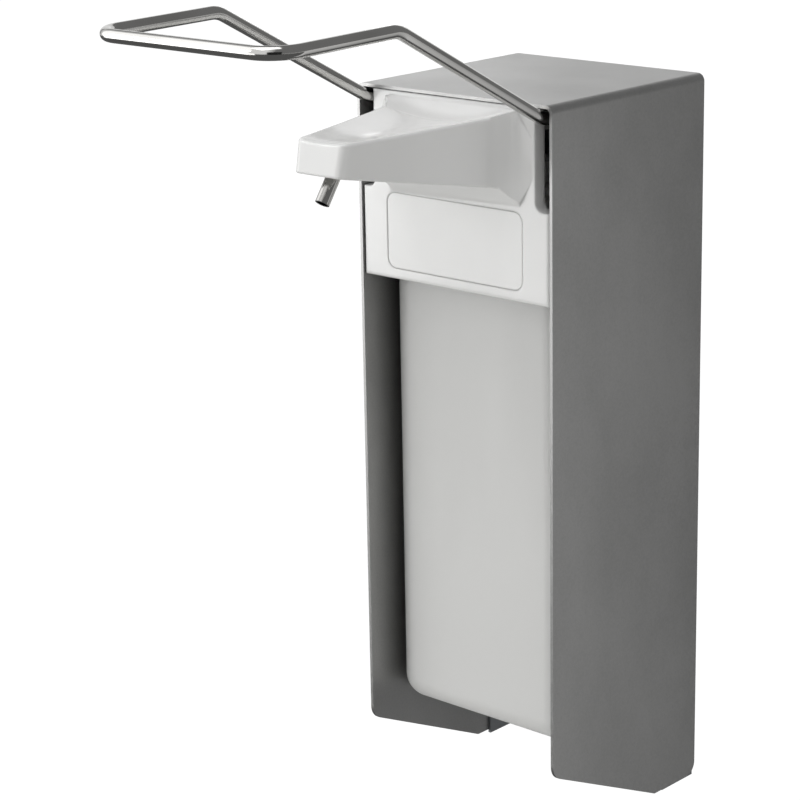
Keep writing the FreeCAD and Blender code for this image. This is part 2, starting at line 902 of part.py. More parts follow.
def make_front_cover():
    column = nose_column(0.0)
    nose = column.cut(dish_cutter(0.0))
    nose = nose.makeFillet(nose_rim_radius, nose_rims(nose)[0])
    low_rims = nose_rims(nose)[1]
    low_run = min(edge.Length for edge in low_rims)
    nose = nose.makeFillet(min(nose_low_radius, low_run / 2), low_rims)
    nose = nose.fuse(nose_shoulder(column, 0.0)).cut(flare_trims() + [scoop_cutter(0.0)])
    front = front_y - 2 * nose_reach
    nose = nose.common(
        block(-cover_half, cover_half, front, cover_back_y, cover_bottom_z, cover_top_z)
    )
    column = nose_column(cover_wall)
    hollow = column.cut(dish_cutter(cover_wall)).fuse(nose_shoulder(column, cover_wall))
    hollow = hollow.cut(scoop_cutter(cover_wall))
    hollow_half = nose_base_half - cover_wall
    foot_y = cover_face_y - nose_foot_reach
    opening_z = nose_top_z - nose_opening_height
    hollow_limit = block(
        -hollow_half, hollow_half, foot_y, cover_back_y + cover_wall, opening_z, top_z
    ).fuse(block(-hollow_half, hollow_half, front, foot_y, nose_foot_z, top_z))
    solid = make_cover_plate().fuse([nose] + make_cover_returns() + [make_cover_rib()])
    notch = front_notch_cutter(
        notch_inner_x, notch_low_z, cover_face_y - sheet, cover_back_y + cover_return
    )
    cuts = [hollow.common(hollow_limit), notch, mirrored(notch)]
    pocket = Part.Face(label_outline(0.0, cover_face_y - sheet)).extrude(Vector(0, sheet + label_recess, 0))
    cuts.append(pocket)
    for place in cover_screw_places():
        cuts.append(bar(cover_screw_radius + fit_gap, place, place + Vector(0, 0, 2 * rib_thickness)))
    return solid.cut(cuts).removeSplitter()


def make_label_insert():
    front = cover_face_y + label_recess - label_thickness
    return Part.Face(label_outline(-label_gap, front)).extrude(Vector(0, label_thickness, 0))


def make_cover_screws():
    screws = []
    for place in cover_screw_places():
        shank_low = place - Vector(0, 0, deck_thickness)
        seat = place + Vector(0, 0, rib_thickness)
        head_top = seat + Vector(0, 0, cover_screw_head_height)
        screw = bar(cover_screw_radius, shank_low, seat).fuse(bar(cover_screw_head_radius, seat, head_top))
        screws.append(screw.removeSplitter())
    return Part.makeCompound(screws)


def make_pump_body():
    """Cylinder, neck flange, deck with its bridge to the cover, and the outlet turret."""
    y = bottle_y
    cylinder = upright(cylinder_radius, y, chamber_top_z, cylinder_top_z)
    flange = upright(flange_radius, y, flange_bottom_z, flange_top_z)
    collar = upright(deck_radius, y, flange_bottom_z, deck_top_z)
    bridge = block(-bridge_half_width, bridge_half_width, bridge_end_y, y, deck_bottom_z, deck_top_z)
    turret = upright(turret_radius, turret_y, chamber_top_z, turret_top_z)
    boss = upright(inlet_boss_radius, y, seat_bottom_z, chamber_top_z)
    body = cylinder.fuse([flange, collar, bridge, turret, boss]).removeSplitter()
    seal_seat_z = turret_top_z - outlet_seal_height
    port_z = spring_seat_z + outlet_port_rise
    cuts = [
        upright(cylinder_bore_radius, y, spring_seat_z, cylinder_top_z),
        upright(top_port_radius, y, chamber_top_z, spring_seat_z),
        upright(inlet_chamber_radius, y, seat_bottom_z, chamber_top_z),
        upright(outlet_bore_radius, turret_y, outlet_seat_z, turret_top_z),
        upright(outlet_seal_radius + fit_gap, turret_y, seal_seat_z, turret_top_z),
        upright(outlet_port_radius, turret_y, port_z, outlet_seat_z),
        bar(outlet_port_radius, Vector(0, turret_y, port_z), Vector(0, y, port_z)),
    ]
    for place in cover_screw_places():
        cuts.append(bar(cover_screw_radius + fit_gap, place - Vector(0, 0, 2 * deck_thickness), place))
    return body.cut(cuts)


def make_gland_nut():
    y = bottle_y
    spigot_low = cylinder_top_z - gland_spigot
    nut = upright(gland_radius, y, cylinder_top_z, gland_top_z)
    nut = nut.fuse(upright(cylinder_bore_radius - fit_gap, y, spigot_low, cylinder_top_z)).removeSplitter()
    bore = upright(plunger_rod_radius + running_gap, y, spigot_low, gland_top_z)
    pocket = upright(gland_seal_radius, y, spigot_low, spigot_low + gland_seal_height)
    return nut.cut([bore, pocket])


def make_gland_seal():
    low = cylinder_top_z - gland_spigot
    high = low + gland_seal_height
    return ring(gland_seal_radius - fit_gap, plunger_rod_radius + fit_gap, bottle_y, low, high)


def make_plunger_head():
    head = upright(head_radius, bottle_y, head_bottom_z, head_top_z)
    socket_top = head_bottom_z + head_socket_depth
    return head.cut(upright(plunger_rod_radius + fit_gap, bottle_y, head_bottom_z, socket_top))


def make_plunger_rod():
    return upright(plunger_rod_radius, bottle_y, piston_bottom_z, head_bottom_z + head_socket_depth)


def make_piston():
    piston = ring(piston_radius, plunger_rod_radius + fit_gap, bottle_y, piston_bottom_z, piston_top_z)
    middle = (piston_bottom_z + piston_top_z) / 2
    groove_bottom = cylinder_bore_radius - piston_ring_depth - fit_gap
    low = middle - piston_groove / 2
    high = middle + piston_groove / 2
    return piston.cut(ring(cylinder_radius, groove_bottom, bottle_y, low, high))


def make_piston_ring():
    middle = (piston_bottom_z + piston_top_z) / 2
    half = piston_groove / 2 - fit_gap
    outer = cylinder_bore_radius - fit_gap
    return ring(outer, cylinder_bore_radius - piston_ring_depth, bottle_y, middle - half, middle + half)


def equal_leg_arc(start, corner, end):
    """The arc from start to end that touches the two legs meeting at the corner."""
    before = (start - corner).normalize()
    after = (end - corner).normalize()
    run = (start - corner).Length
    half = before.getAngle(after) / 2
    middle = (before + after).normalize()
    through = corner + middle * (run / math.cos(half) - run * math.tan(half))
    return Part.Arc(start, through, end).toShape()


def biarc(start, start_way, end, end_way):
    """Two arcs that leave start and reach end along the given unit directions."""
    chord = end - start
    ways = start_way + end_way
    turn = 1 - start_way.dot(end_way)
    across = chord.dot(ways)
    leg = (math.sqrt(across**2 + 2 * turn * chord.dot(chord)) - across) / (2 * turn)
    first = start + start_way * leg
    second = end - end_way * leg
    joint = (first + second) * 0.5
    return [equal_leg_arc(start, first, joint), equal_leg_arc(joint, second, end)]


def make_return_spring():
    """An open coil between the cylinder's floor and the piston, in quarter turns."""
    low = spring_seat_z + spring_wire_radius + fit_gap
    high = piston_bottom_z - spring_wire_radius - fit_gap
    quarters = 4 * spring_turns
    climb = math.atan2(high - low, 2 * math.pi * spring_radius * spring_turns)
    edges = []
    places = []
    for index in range(quarters + 1):
        turn = math.pi / 2 * index
        x = spring_radius * math.cos(turn)
        y = bottle_y + spring_radius * math.sin(turn)
        place = Vector(x, y, low + (high - low) * index / quarters)
        flat = math.cos(climb)
        way = Vector(-flat * math.sin(turn), flat * math.cos(turn), math.sin(climb))
        places.append((place, way))
    for index in range(quarters):
        edges += biarc(*places[index], *places[index + 1])
    return swept_round(Part.Wire(edges), places[0][0], places[0][1], spring_wire_radius)


def ball_on_port(radius, port, y, seat_z):
    rise = math.sqrt((radius + ball_gap) ** 2 - port**2)
    return Part.makeSphere(radius, Vector(0, y, seat_z + rise))


def make_outlet_ball():
    return ball_on_port(outlet_ball_radius, outlet_port_radius, turret_y, outlet_seat_z)


def make_inlet_ball():
    return ball_on_port(inlet_ball_radius, inlet_port_radius, bottle_y, inlet_seat_z)


def make_inlet_valve_seat():
    y = bottle_y
    plug = upright(inlet_chamber_radius - fit_gap, y, seat_bottom_z, inlet_seat_z)
    flange = upright(inlet_boss_radius, y, nipple_top_z, seat_bottom_z)
    nipple = upright(nipple_radius, y, nipple_top_z - nipple_height, nipple_top_z)
    seat = plug.fuse([flange, nipple]).removeSplitter()
    return seat.cut(upright(inlet_port_radius, y, nipple_top_z - nipple_height, inlet_seat_z))


def make_suction_tube():
    return ring(suction_tube_radius, suction_tube_bore, bottle_y, suction_end_z, nipple_top_z)


def make_strainer():
    """A slotted cap on the lower end of the suction tube."""
    y = bottle_y
    low = suction_end_z - strainer_height / 2
    high = low + strainer_height
    cup = upright(strainer_radius, y, low, high)
    cup = cup.cut(upright(suction_tube_radius + fit_gap, y, suction_end_z, high))
    cup = cup.cut(upright(suction_tube_bore, y, low + strainer_slot_width, suction_end_z))
    slots = []
    for index in range(strainer_slots):
        slot = block(
            suction_tube_bore / 2,
            strainer_radius + strainer_slot_width,
            -strainer_slot_width / 2,
            strainer_slot_width / 2,
            low + strainer_slot_width,
            suction_end_z - strainer_slot_width / 2,
        )
        slot.rotate(Vector(0, 0, 0), Vector(0, 0, 1), 360.0 / strainer_slots * index)
        slot.translate(Vector(0, y, 0))
        slots.append(slot)
    return cup.cut(slots)


def make_neck_cap():
    """The screw cap that clamps the pump's flange on the bottle, grooved for the fork."""
    y = bottle_y
    low = cap_bottom_z
    high = cap_top_z
    cap = upright(cap_radius, y, low, high)
    groove_low = cap_groove_top_z - cap_groove_height
    groove = ring(cap_radius + sheet, cap_groove_radius, y, groove_low, cap_groove_top_z)
    thread = upright(cap_thread_radius, y, low, flange_top_z)
    mouth = upright(cap_lip_bore, y, flange_top_z, high)
    return cap.cut([groove, thread, mouth])


def make_neck_gasket():
    inner = neck_bore_radius + gasket_inset
    return ring(neck_radius - gasket_inset, inner, bottle_y, neck_top_z, flange_bottom_z)


def bottle_form(inset):
    """The bottle's body and shoulder as a solid, drawn in by the inset on every side."""
    half_x = bottle_half - inset
    half_y = bottle_depth / 2 - inset
    corner = bottle_corner_radius - inset
    low = bottle_base_z + inset
    base = rounded_rectangle(half_x, half_y, corner, bottle_y, low)
    body = Part.Face(base).extrude(Vector(0, 0, shoulder_z - low))
    bottom_edges = [edge for edge in body.Edges if abs(edge.CenterOfMass.z - low) < fit_gap]
    body = body.makeFillet(bottle_base_radius - inset, bottom_edges)
    sections = []
    for step in range(shoulder_steps + 1):
        turn = math.pi / 2 * step / shoulder_steps
        draw = shoulder_inset * (1 - math.cos(turn))
        rise = (shoulder_height - inset) * math.sin(turn)
        sections.append(
            rounded_rectangle(
                half_x - draw, half_y - draw, corner + draw / 2, bottle_y, shoulder_z + rise
            )
        )
    shoulder = Part.makeLoft(sections, True, False)
    return body.fuse(shoulder)


def make_bottle():
    neck_low = shoulder_z + shoulder_height / 2
    outer = bottle_form(0.0).fuse(upright(neck_radius, bottle_y, neck_low, neck_top_z))
    inner = bottle_form(bottle_wall).fuse(upright(neck_bore_radius, bottle_y, neck_low, neck_top_z))
    return outer.cut(inner)


def outlet_centre_line():
    """Rise out of the turret, forward run through the nose, and the slanting spout."""
    run_z = top_z - outlet_run_drop
    elbow_y = front_y - outlet_elbow_reach
    tilt = math.radians(spout_tilt)
    down = Vector(0, -math.sin(tilt), -math.cos(tilt))
    start = Vector(0, turret_y, outlet_seat_z + outlet_end_gap)
    elbow = Vector(0, elbow_y, run_z)
    return start, Vector(0, turret_y, run_z), elbow, elbow + down * spout_length, down


def make_outlet_tube():
    start, rise, elbow, tip, down = outlet_centre_line()
    taper_start = tip - down * spout_taper_length
    path = bent_path([start, rise, elbow, taper_start], [outlet_rise_bend, outlet_elbow_bend])
    up = Vector(0, 0, 1)
    outer = swept_round(path, start, up, outlet_radius)
    inner = swept_round(path, start, up, outlet_radius - outlet_wall)
    cone = Part.makeCone(outlet_radius, spout_tip_radius, spout_taper_length, taper_start, down)
    bore = Part.makeCone(
        outlet_radius - outlet_wall, spout_tip_radius - outlet_wall, spout_taper_length, taper_start, down
    )
    return outer.cut(inner).fuse(cone.cut(bore))


def make_outlet_seal():
    low = turret_top_z - outlet_seal_height
    return ring(outlet_seal_radius, outlet_radius + fit_gap, turret_y, low, turret_top_z)


PIECES = {
    "housing_shell": make_housing_shell,
    "back_plate": make_back_plate,
    "bottle_shelf": make_bottle_shelf,
    "shelf_rivets": make_shelf_rivets,
    "pump_carrier": make_pump_carrier,
    "carrier_screws": make_carrier_screws,
    "pivot_bushes": make_pivot_bushes,
    "lever_rod": make_lever_rod,
    "lever_rocker": make_lever_rocker,
    "rocker_set_screws": make_rocker_set_screws,
    "press_pad": make_press_pad,
    "front_cover": make_front_cover,
    "label_insert": make_label_insert,
    "cover_screws": make_cover_screws,
    "pump_body": make_pump_body,
    "gland_nut": make_gland_nut,
    "gland_seal": make_gland_seal,
    "plunger_head": make_plunger_head,
    "plunger_rod": make_plunger_rod,
    "piston": make_piston,
    "piston_ring": make_piston_ring,
    "return_spring": make_return_spring,
    "inlet_ball": make_inlet_ball,
    "outlet_ball": make_outlet_ball,
    "inlet_valve_seat": make_inlet_valve_seat,
    "suction_tube": make_suction_tube,
    "suction_strainer": make_strainer,
    "neck_cap": make_neck_cap,
    "neck_gasket": make_neck_gasket,
    "bottle": make_bottle,
    "outlet_tube": make_outlet_tube,
    "outlet_seal": make_outlet_seal,
}


def main():
    os.makedirs("parts", exist_ok=True)
    for name, make in PIECES.items():
        shape = make()
        shape.exportStep("parts/" + name + ".step")
        box = shape.BoundBox
        print(
            "%-18s solids %d  valid %s  volume %9.1f  x %7.2f %7.2f  y %7.2f %7.2f  z %7.2f %7.2f"
            % (
                name, len(shape.Solids), shape.isValid(), shape.Volume,
                box.XMin, box.XMax, box.YMin, box.YMax, box.ZMin, box.ZMax,
            )
        )


main()
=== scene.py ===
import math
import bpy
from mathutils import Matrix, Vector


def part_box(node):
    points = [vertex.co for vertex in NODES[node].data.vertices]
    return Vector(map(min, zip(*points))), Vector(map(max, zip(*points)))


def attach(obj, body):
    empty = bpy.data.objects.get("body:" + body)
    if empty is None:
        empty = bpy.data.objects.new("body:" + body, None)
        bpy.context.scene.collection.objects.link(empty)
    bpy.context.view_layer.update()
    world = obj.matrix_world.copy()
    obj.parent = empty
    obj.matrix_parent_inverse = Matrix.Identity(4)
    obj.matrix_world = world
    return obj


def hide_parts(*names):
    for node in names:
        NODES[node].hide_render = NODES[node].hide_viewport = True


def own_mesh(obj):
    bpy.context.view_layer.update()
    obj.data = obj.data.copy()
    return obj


bl_info = {
    "name": "Elbow lever soap dispenser",
    "version": (1, 0, 0),
    "blender": (4, 5, 0),
    "location": "View3D > Sidebar > Dispenser",
    "description": "Dresses the packed dispenser with its finishes and its studio",
    "category": "Object",
}

import bmesh
import bpy
from bpy.props import FloatProperty, FloatVectorProperty, IntProperty, PointerProperty
from mathutils import Matrix, Vector

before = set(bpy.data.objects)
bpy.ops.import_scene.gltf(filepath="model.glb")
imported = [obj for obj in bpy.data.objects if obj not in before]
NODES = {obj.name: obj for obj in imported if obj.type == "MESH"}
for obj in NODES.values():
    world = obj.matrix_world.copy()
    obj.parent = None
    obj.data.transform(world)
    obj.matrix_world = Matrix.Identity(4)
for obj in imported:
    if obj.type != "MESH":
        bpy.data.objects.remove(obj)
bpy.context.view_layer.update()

# A point inside the part that the lamps and some of the cards face.
MIDDLE = (0.0, -0.06, 0.0)
# The part of a noise pattern's range that holds most of its values.
NOISE_BAND = (0.3, 0.7)
WHITE = (1.0, 1.0, 1.0, 1.0)
# Points of a CAD mesh this near are one point, and faces this level are one face.
SAME_POINT = 2e-6
SAME_PLANE = math.radians(0.2)


# Small helpers


def srgb(code):
    """Linear colour with alpha from a hex value such as e2e2e0."""
    channels = [int(code[start : start + 2], 16) / 255 for start in (0, 2, 4)]
    linear = [c / 12.92 if c <= 0.04045 else ((c + 0.055) / 1.055) ** 2.4 for c in channels]
    return (*linear, 1.0)


def scaled(colour, factor):
    """The colour made darker or lighter, with no channel over 1."""
    return (*(min(channel * factor, 1.0) for channel in colour[:3]), 1.0)


def add(tree, kind, inputs=None, **settings):
    """Adds a node, sets its own settings, then fills or links its inputs by name or number."""
    node = tree.nodes.new(kind)
    for name, value in settings.items():
        setattr(node, name, value)
    for key, value in (inputs or {}).items():
        if isinstance(value, bpy.types.NodeSocket):
            tree.links.new(value, node.inputs[key])
        else:
            node.inputs[key].default_value = value
    return node


def empty_material(name):
    """A material without nodes, and its tree."""
    material = bpy.data.materials.new(name)
    material.use_nodes = True
    material.node_tree.nodes.clear()
    return material, material.node_tree


def new_material(name, **shader):
    """A material with a Principled shader whose sockets take the given constants."""
    material, tree = empty_material(name)
    surface = add(tree, "ShaderNodeBsdfPrincipled", shader)
    add(tree, "ShaderNodeOutputMaterial", {"Surface": surface.outputs[0]})
    return material, tree, surface


def grain(tree, scale, stretch=(1.0, 1.0, 1.0), detail=3.0):
    """Noise on Object coordinates: scale in cells per metre, a low stretch for long cells."""
    place = add(tree, "ShaderNodeTexCoord").outputs["Object"]
    turned = add(tree, "ShaderNodeMapping", {"Vector": place, "Scale": stretch}).outputs[0]
    values = {"Vector": turned, "Scale": scale, "Detail": detail, "Roughness": 0.5}
    return add(tree, "ShaderNodeTexNoise", values).outputs["Fac"]


def span(value, start, end, low, high):
    """The inputs of a Map Range node that turns start to end into low to high."""
    return {"Value": value, "From Min": start, "From Max": end, "To Min": low, "To Max": high}


def colour_follows(tree, surface, pattern, first, second, band=NOISE_BAND):
    """The colour goes from the first to the second as the pattern crosses its band."""
    share = add(tree, "ShaderNodeMapRange", span(pattern, *band, 0.0, 1.0)).outputs["Result"]
    tone = add(tree, "ShaderNodeMix", {"Factor": share, "A": first, "B": second}, data_type="RGBA")
    tree.links.new(tone.outputs["Result"], surface.inputs["Base Color"])


def roughness_follows(tree, surface, pattern, low, high, band=NOISE_BAND):
    """The roughness goes from low to high as the pattern crosses its band."""
    rough = add(tree, "ShaderNodeMapRange", span(pattern, *band, low, high)).outputs["Result"]
    tree.links.new(rough, surface.inputs["Roughness"])


def relief(tree, surface, height, millimetres, strength=1.0, soft_edge_mm=0.0):
    """Raises the surface by a pattern and, where asked, makes its edges look broken."""
    inputs = {"Height": height, "Strength": strength, "Distance": millimetres / 1000}
    if soft_edge_mm:
        rounded = add(tree, "ShaderNodeBevel", {"Radius": soft_edge_mm / 1000}, samples=6)
        inputs["Normal"] = rounded.outputs[0]
    normal = add(tree, "ShaderNodeBump", inputs).outputs["Normal"]
    tree.links.new(normal, surface.inputs["Normal"])


def plain_object(name, mesh):
    piece = bpy.data.objects.new(name, mesh)
    bpy.context.scene.collection.objects.link(piece)
    return piece


def mesh_from(name, vertices, edges=(), faces=()):
    mesh = bpy.data.meshes.new(name)
    mesh.from_pydata([tuple(v) for v in vertices], list(edges), list(faces))
    return mesh


def smooth_by_angle(mesh, degrees):
    """Smooth shading, with the edges sharper than the angle kept crisp."""
    for polygon in mesh.polygons:
        polygon.use_smooth = True
    mesh.set_sharp_from_angle(angle=math.radians(degrees))


def dressed_copy(node, name, material, angle):
    """A merged copy of a CAD piece with flat faces joined and shading that keeps them flat."""
    mesh = NODES[node].data.copy()
    mesh.name = name
    work = bmesh.new()
    work.from_mesh(mesh)
    bmesh.ops.remove_doubles(work, verts=work.verts, dist=SAME_POINT)
    bmesh.ops.dissolve_limit(
        work, angle_limit=SAME_PLANE, verts=work.verts, edges=work.edges, delimit=set()
    )
    work.to_mesh(mesh)
    work.free()
    mesh.materials.clear()
    mesh.materials.append(material)
    smooth_by_angle(mesh, angle)
    piece = plain_object(name, mesh)
    shading = piece.modifiers.new("Flat faces stay flat", "WEIGHTED_NORMAL")
    shading.mode = "FACE_AREA"
    shading.keep_sharp = True
    return settled(piece)


def settled(piece):
    """Turns the modified shape into the object's own plain mesh."""
    bpy.context.view_layer.update()
    shape = piece.evaluated_get(bpy.context.evaluated_depsgraph_get())
    mesh = bpy.data.meshes.new_from_object(shape)
    piece.modifiers.clear()
    piece.data = mesh
    return piece


def give(node, material):
    """Puts a material on a CAD piece that keeps its own mesh."""
    piece = NODES[node]
    if not piece.material_slots:
        piece.data.materials.append(material)
    for held in piece.material_slots:
        held.material = material


# Geometry Nodes trees


def group_tree(name, sockets):
    """A Geometry Nodes tree with a geometry in and out and the named inputs."""
    tree = bpy.data.node_groups.new(name, "GeometryNodeTree")
    tree.interface.new_socket("Geometry", in_out="INPUT", socket_type="NodeSocketGeometry")
    for label, kind in sockets:
        tree.interface.new_socket(label, in_out="INPUT", socket_type=kind)
    tree.interface.new_socket("Geometry", in_out="OUTPUT", socket_type="NodeSocketGeometry")
    return tree, add(tree, "NodeGroupInput").outputs


def close_tree(tree, geometry, material):
    """Ends a tree with Realize Instances and Set Material."""
    real = add(tree, "GeometryNodeRealizeInstances", {"Geometry": geometry}).outputs[0]
    coated = add(tree, "GeometryNodeSetMaterial", {"Geometry": real, "Material": material})
    add(tree, "NodeGroupOutput", {0: coated.outputs[0]})


def bent_rod_tree():
    """A round rod or tube along a path, with a tangent arc at each corner."""
    tree, given = group_tree(
        "Bent rod",
        [
            ("Radius", "NodeSocketFloat"),
            ("Tip scale", "NodeSocketFloat"),
            ("Tip length", "NodeSocketFloat"),
            ("Sides", "NodeSocketInt"),
            ("Arc steps", "NodeSocketInt"),
            ("Closed ends", "NodeSocketBool"),
            ("Material", "NodeSocketMaterial"),
        ],
    )
    path = add(tree, "GeometryNodeMeshToCurve", {"Mesh": given["Geometry"]}).outputs[0]
    bend = add(tree, "GeometryNodeInputNamedAttribute", {"Name": "bend_radius"}, data_type="FLOAT")
    rounded = add(
        tree,
        "GeometryNodeFilletCurve",
        {
            "Curve": path, "Radius": bend.outputs["Attribute"], "Count": given["Arc steps"],
            "Limit Radius": True,
        },
        mode="POLY",
    ).outputs[0]
    along = add(tree, "GeometryNodeSplineParameter").outputs["Length"]
    whole = add(tree, "GeometryNodeSplineLength").outputs["Length"]
    left = add(tree, "ShaderNodeMath", {0: whole, 1: along}, operation="SUBTRACT").outputs[0]
    taper = add(
        tree, "ShaderNodeMapRange", span(left, 0.0, given["Tip length"], given["Tip scale"], 1.0)
    ).outputs["Result"]
    sized = add(tree, "GeometryNodeSetCurveRadius", {"Curve": rounded, "Radius": taper}).outputs[0]
    ring = add(
        tree,
        "GeometryNodeCurvePrimitiveCircle",
        {"Resolution": given["Sides"], "Radius": given["Radius"]},
        mode="RADIUS",
    ).outputs[0]
    rod = add(
        tree,
        "GeometryNodeCurveToMesh",
        {"Curve": sized, "Profile Curve": ring, "Fill Caps": given["Closed ends"]},
    ).outputs[0]
    close_tree(tree, rod, given["Material"])
    return tree


def repeat_tree():
    """One piece set at each point, turned about its own axis by a seeded chance."""
    tree, given = group_tree(
        "Set at points",
        [
            ("Piece", "NodeSocketObject"),
            ("Lean", "NodeSocketVector"),
            ("Seed", "NodeSocketInt"),
            ("Material", "NodeSocketMaterial"),
        ],
    )
    piece = add(
        tree,
        "GeometryNodeObjectInfo",
        {"Object": given["Piece"], "As Instance": True},
        transform_space="ORIGINAL",
    ).outputs["Geometry"]
    chance = add(
        tree,
        "FunctionNodeRandomValue",
        {2: 0.0, 3: math.tau, "Seed": given["Seed"]},
        data_type="FLOAT",
    ).outputs[1]
    spin = add(tree, "ShaderNodeCombineXYZ", {"Z": chance}).outputs[0]
    placed = add(
        tree,
        "GeometryNodeInstanceOnPoints",
        {"Points": given["Geometry"], "Instance": piece, "Rotation": given["Lean"]},
    ).outputs[0]
    turned = add(
        tree,
        "GeometryNodeRotateInstances",
        {"Instances": placed, "Rotation": spin, "Local Space": True},
    ).outputs[0]
    close_tree(tree, turned, given["Material"])
    return tree


def ring_tree():
    """One piece set round an upright circle, facing outwards."""
    tree, given = group_tree(
        "Set round a ring",
        [
            ("Piece", "NodeSocketObject"),
            ("Count", "NodeSocketInt"),
            ("Radius", "NodeSocketFloat"),
            ("Centre", "NodeSocketVector"),
            ("Material", "NodeSocketMaterial"),
        ],
    )
    circle = add(
        tree, "GeometryNodeMeshCircle", {"Vertices": given["Count"], "Radius": given["Radius"]}
    ).outputs[0]
    here = add(tree, "GeometryNodeInputPosition").outputs[0]
    outward = add(tree, "FunctionNodeAlignEulerToVector", {"Vector": here}, axis="X").outputs[0]
    piece = add(
        tree,
        "GeometryNodeObjectInfo",
        {"Object": given["Piece"], "As Instance": True},
        transform_space="ORIGINAL",
    ).outputs["Geometry"]
    placed = add(
        tree,
        "GeometryNodeInstanceOnPoints",
        {"Points": circle, "Instance": piece, "Rotation": outward},
    ).outputs[0]
    moved = add(
        tree, "GeometryNodeTransform", {"Geometry": placed, "Translation": given["Centre"]}
    ).outputs[0]
    close_tree(tree, moved, given["Material"])
    return tree


def grown(name, base, tree, values):
    """Runs a tree on a base mesh and returns the result as an object with a plain mesh."""
    piece = plain_object(name, base)
    modifier = piece.modifiers.new("Shape", "NODES")
    modifier.node_group = tree
    for item in tree.interface.items_tree:
        if item.item_type == "SOCKET" and item.in_out == "INPUT" and item.name in values:
            modifier[item.identifier] = values[item.name]
    return settled(piece)


def path_mesh(name, points, radii):
    """An open run of edges whose corners carry their bend radius."""
    count = len(points)
    mesh = mesh_from(name, points, [(i, i + 1) for i in range(count - 1)])
    bend = mesh.attributes.new("bend_radius", "FLOAT", "POINT")
    bend.data.foreach_set("value", [0.0] + list(radii) + [0.0])
    return mesh


# Finishes, each named for what the real one is


def anodised_aluminium():
    """Anodised aluminium sheet, bead blasted and satin: an even grey with a very fine grit."""
    colour = bpy.context.scene.dispenser_finishes.housing_colour
    material, tree, surface = new_material("anodised_aluminium", Metallic=1.0)
    # Handling and etching leave clouds of a few centimetres.
    cloud = grain(tree, 28.0, (1.0, 1.0, 0.6), 4.0)
    # The blasting grit is about 0.1 mm and is drawn at 0.8 mm so that it shows.
    grit = grain(tree, 1250.0)
    shade = add(
        tree, "ShaderNodeMath", {0: grit, 1: 0.8, 2: cloud}, operation="MULTIPLY_ADD"
    ).outputs[0]
    colour_follows(tree, surface, shade, scaled(colour, 0.9), scaled(colour, 1.1), (0.65, 1.15))
    roughness_follows(tree, surface, grit, 0.36, 0.46)
    relief(tree, surface, grit, 0.012)
    return material


def galvanised_steel():
    """Zinc-coated steel sheet: soft grey with the faint patches of the zinc crystals."""
    material, tree, surface = new_material("galvanised_steel", Metallic=1.0)
    place = add(tree, "ShaderNodeTexCoord").outputs["Object"]
    # The crystals are 4 to 8 mm across.
    cells = add(tree, "ShaderNodeTexVoronoi", {"Vector": place, "Scale": 170.0}).outputs["Color"]
    grey = add(tree, "ShaderNodeRGBToBW", {"Color": cells}).outputs[0]
    colour_follows(tree, surface, grey, srgb("8d9093"), srgb("a7a9ab"), (0.0, 1.0))
    roughness_follows(tree, surface, grey, 0.38, 0.55, (0.0, 1.0))
    relief(tree, surface, grain(tree, 1200.0), 0.01)
    return material


def polished_rod_steel(name, tint, roughness):
    """Drawn and polished stainless steel: mirror bright, with hair-fine lines along the rod."""
    material, tree, surface = new_material(name, Metallic=1.0)
    # Polishing lines are under 0.05 mm and are drawn at 0.4 mm.
    lines = grain(tree, 2400.0, (1.0, 0.04, 0.04), 2.0)
    # Handling leaves duller, slightly warmer patches of about 30 mm.
    handling = grain(tree, 35.0)
    base = srgb(tint)
    worn = (base[0] * 0.86, base[1] * 0.86, base[2] * 0.85, 1.0)
    colour_follows(tree, surface, handling, base, worn)
    roughness_follows(tree, surface, lines, roughness, roughness + 0.07)
    relief(tree, surface, lines, 0.004)
    return material


def zinc_plated_steel():
    """Zinc-plated screws and rivets: bright grey, slightly blue, a little uneven."""
    material, tree, surface = new_material("zinc_plated_steel", Metallic=1.0)
    # The plating varies in patches of about 2 mm.
    cloud = grain(tree, 500.0)
    colour_follows(tree, surface, cloud, srgb("9fa4a8"), srgb("b9bcbe"))
    roughness_follows(tree, surface, cloud, 0.22, 0.36)
    return material


def spring_wire():
    """Drawn stainless spring wire: clean and fairly bright, in patches of about 1 mm."""
    material, tree, surface = new_material("spring_wire", Metallic=1.0)
    cloud = grain(tree, 900.0)
    colour_follows(tree, surface, cloud, srgb("a9aaa8"), srgb("c2c2c0"))
    roughness_follows(tree, surface, cloud, 0.2, 0.3)
    return material


def gloss_abs():
    """White ABS from a polished mould: smooth gloss over a very slight waviness."""
    finishes = bpy.context.scene.dispenser_finishes
    colour = finishes.cover_colour
    material, tree, surface = new_material(
        "gloss_abs",
        **{
            "IOR": 1.54, "Coat Weight": 0.25, "Coat Roughness": 0.06,
            "Subsurface Weight": 0.08, "Subsurface Scale": 0.002,
            "Subsurface Radius": (1.0, 1.0, 1.0),
        },
    )
    # The flow in the mould leaves faint clouds of about 70 mm.
    cloud = grain(tree, 14.0, detail=2.0)
    colour_follows(tree, surface, cloud, scaled(colour, 0.965), tuple(colour))
    # Fine handling haze, patches of 5 to 10 mm.
    roughness_follows(tree, surface, grain(tree, 150.0), 0.13, 0.2)
    # Sink and flow of the moulding, waves of about 25 mm.
    relief(tree, surface, grain(tree, 40.0, detail=1.0), 0.05, 0.5, finishes.edge_softness)
    return material


def label_plate():
    """The bare label plate: matt white polypropylene with a fine stipple of 0.4 mm."""
    material, tree, surface = new_material("label_plate", IOR=1.49)
    colour_follows(tree, surface, grain(tree, 22.0), srgb("f2f2f1"), srgb("f7f7f6"))
    stipple = grain(tree, 2600.0, detail=1.0)
    roughness_follows(tree, surface, stipple, 0.3, 0.4)
    relief(tree, surface, stipple, 0.01, soft_edge_mm=0.8)
    return material


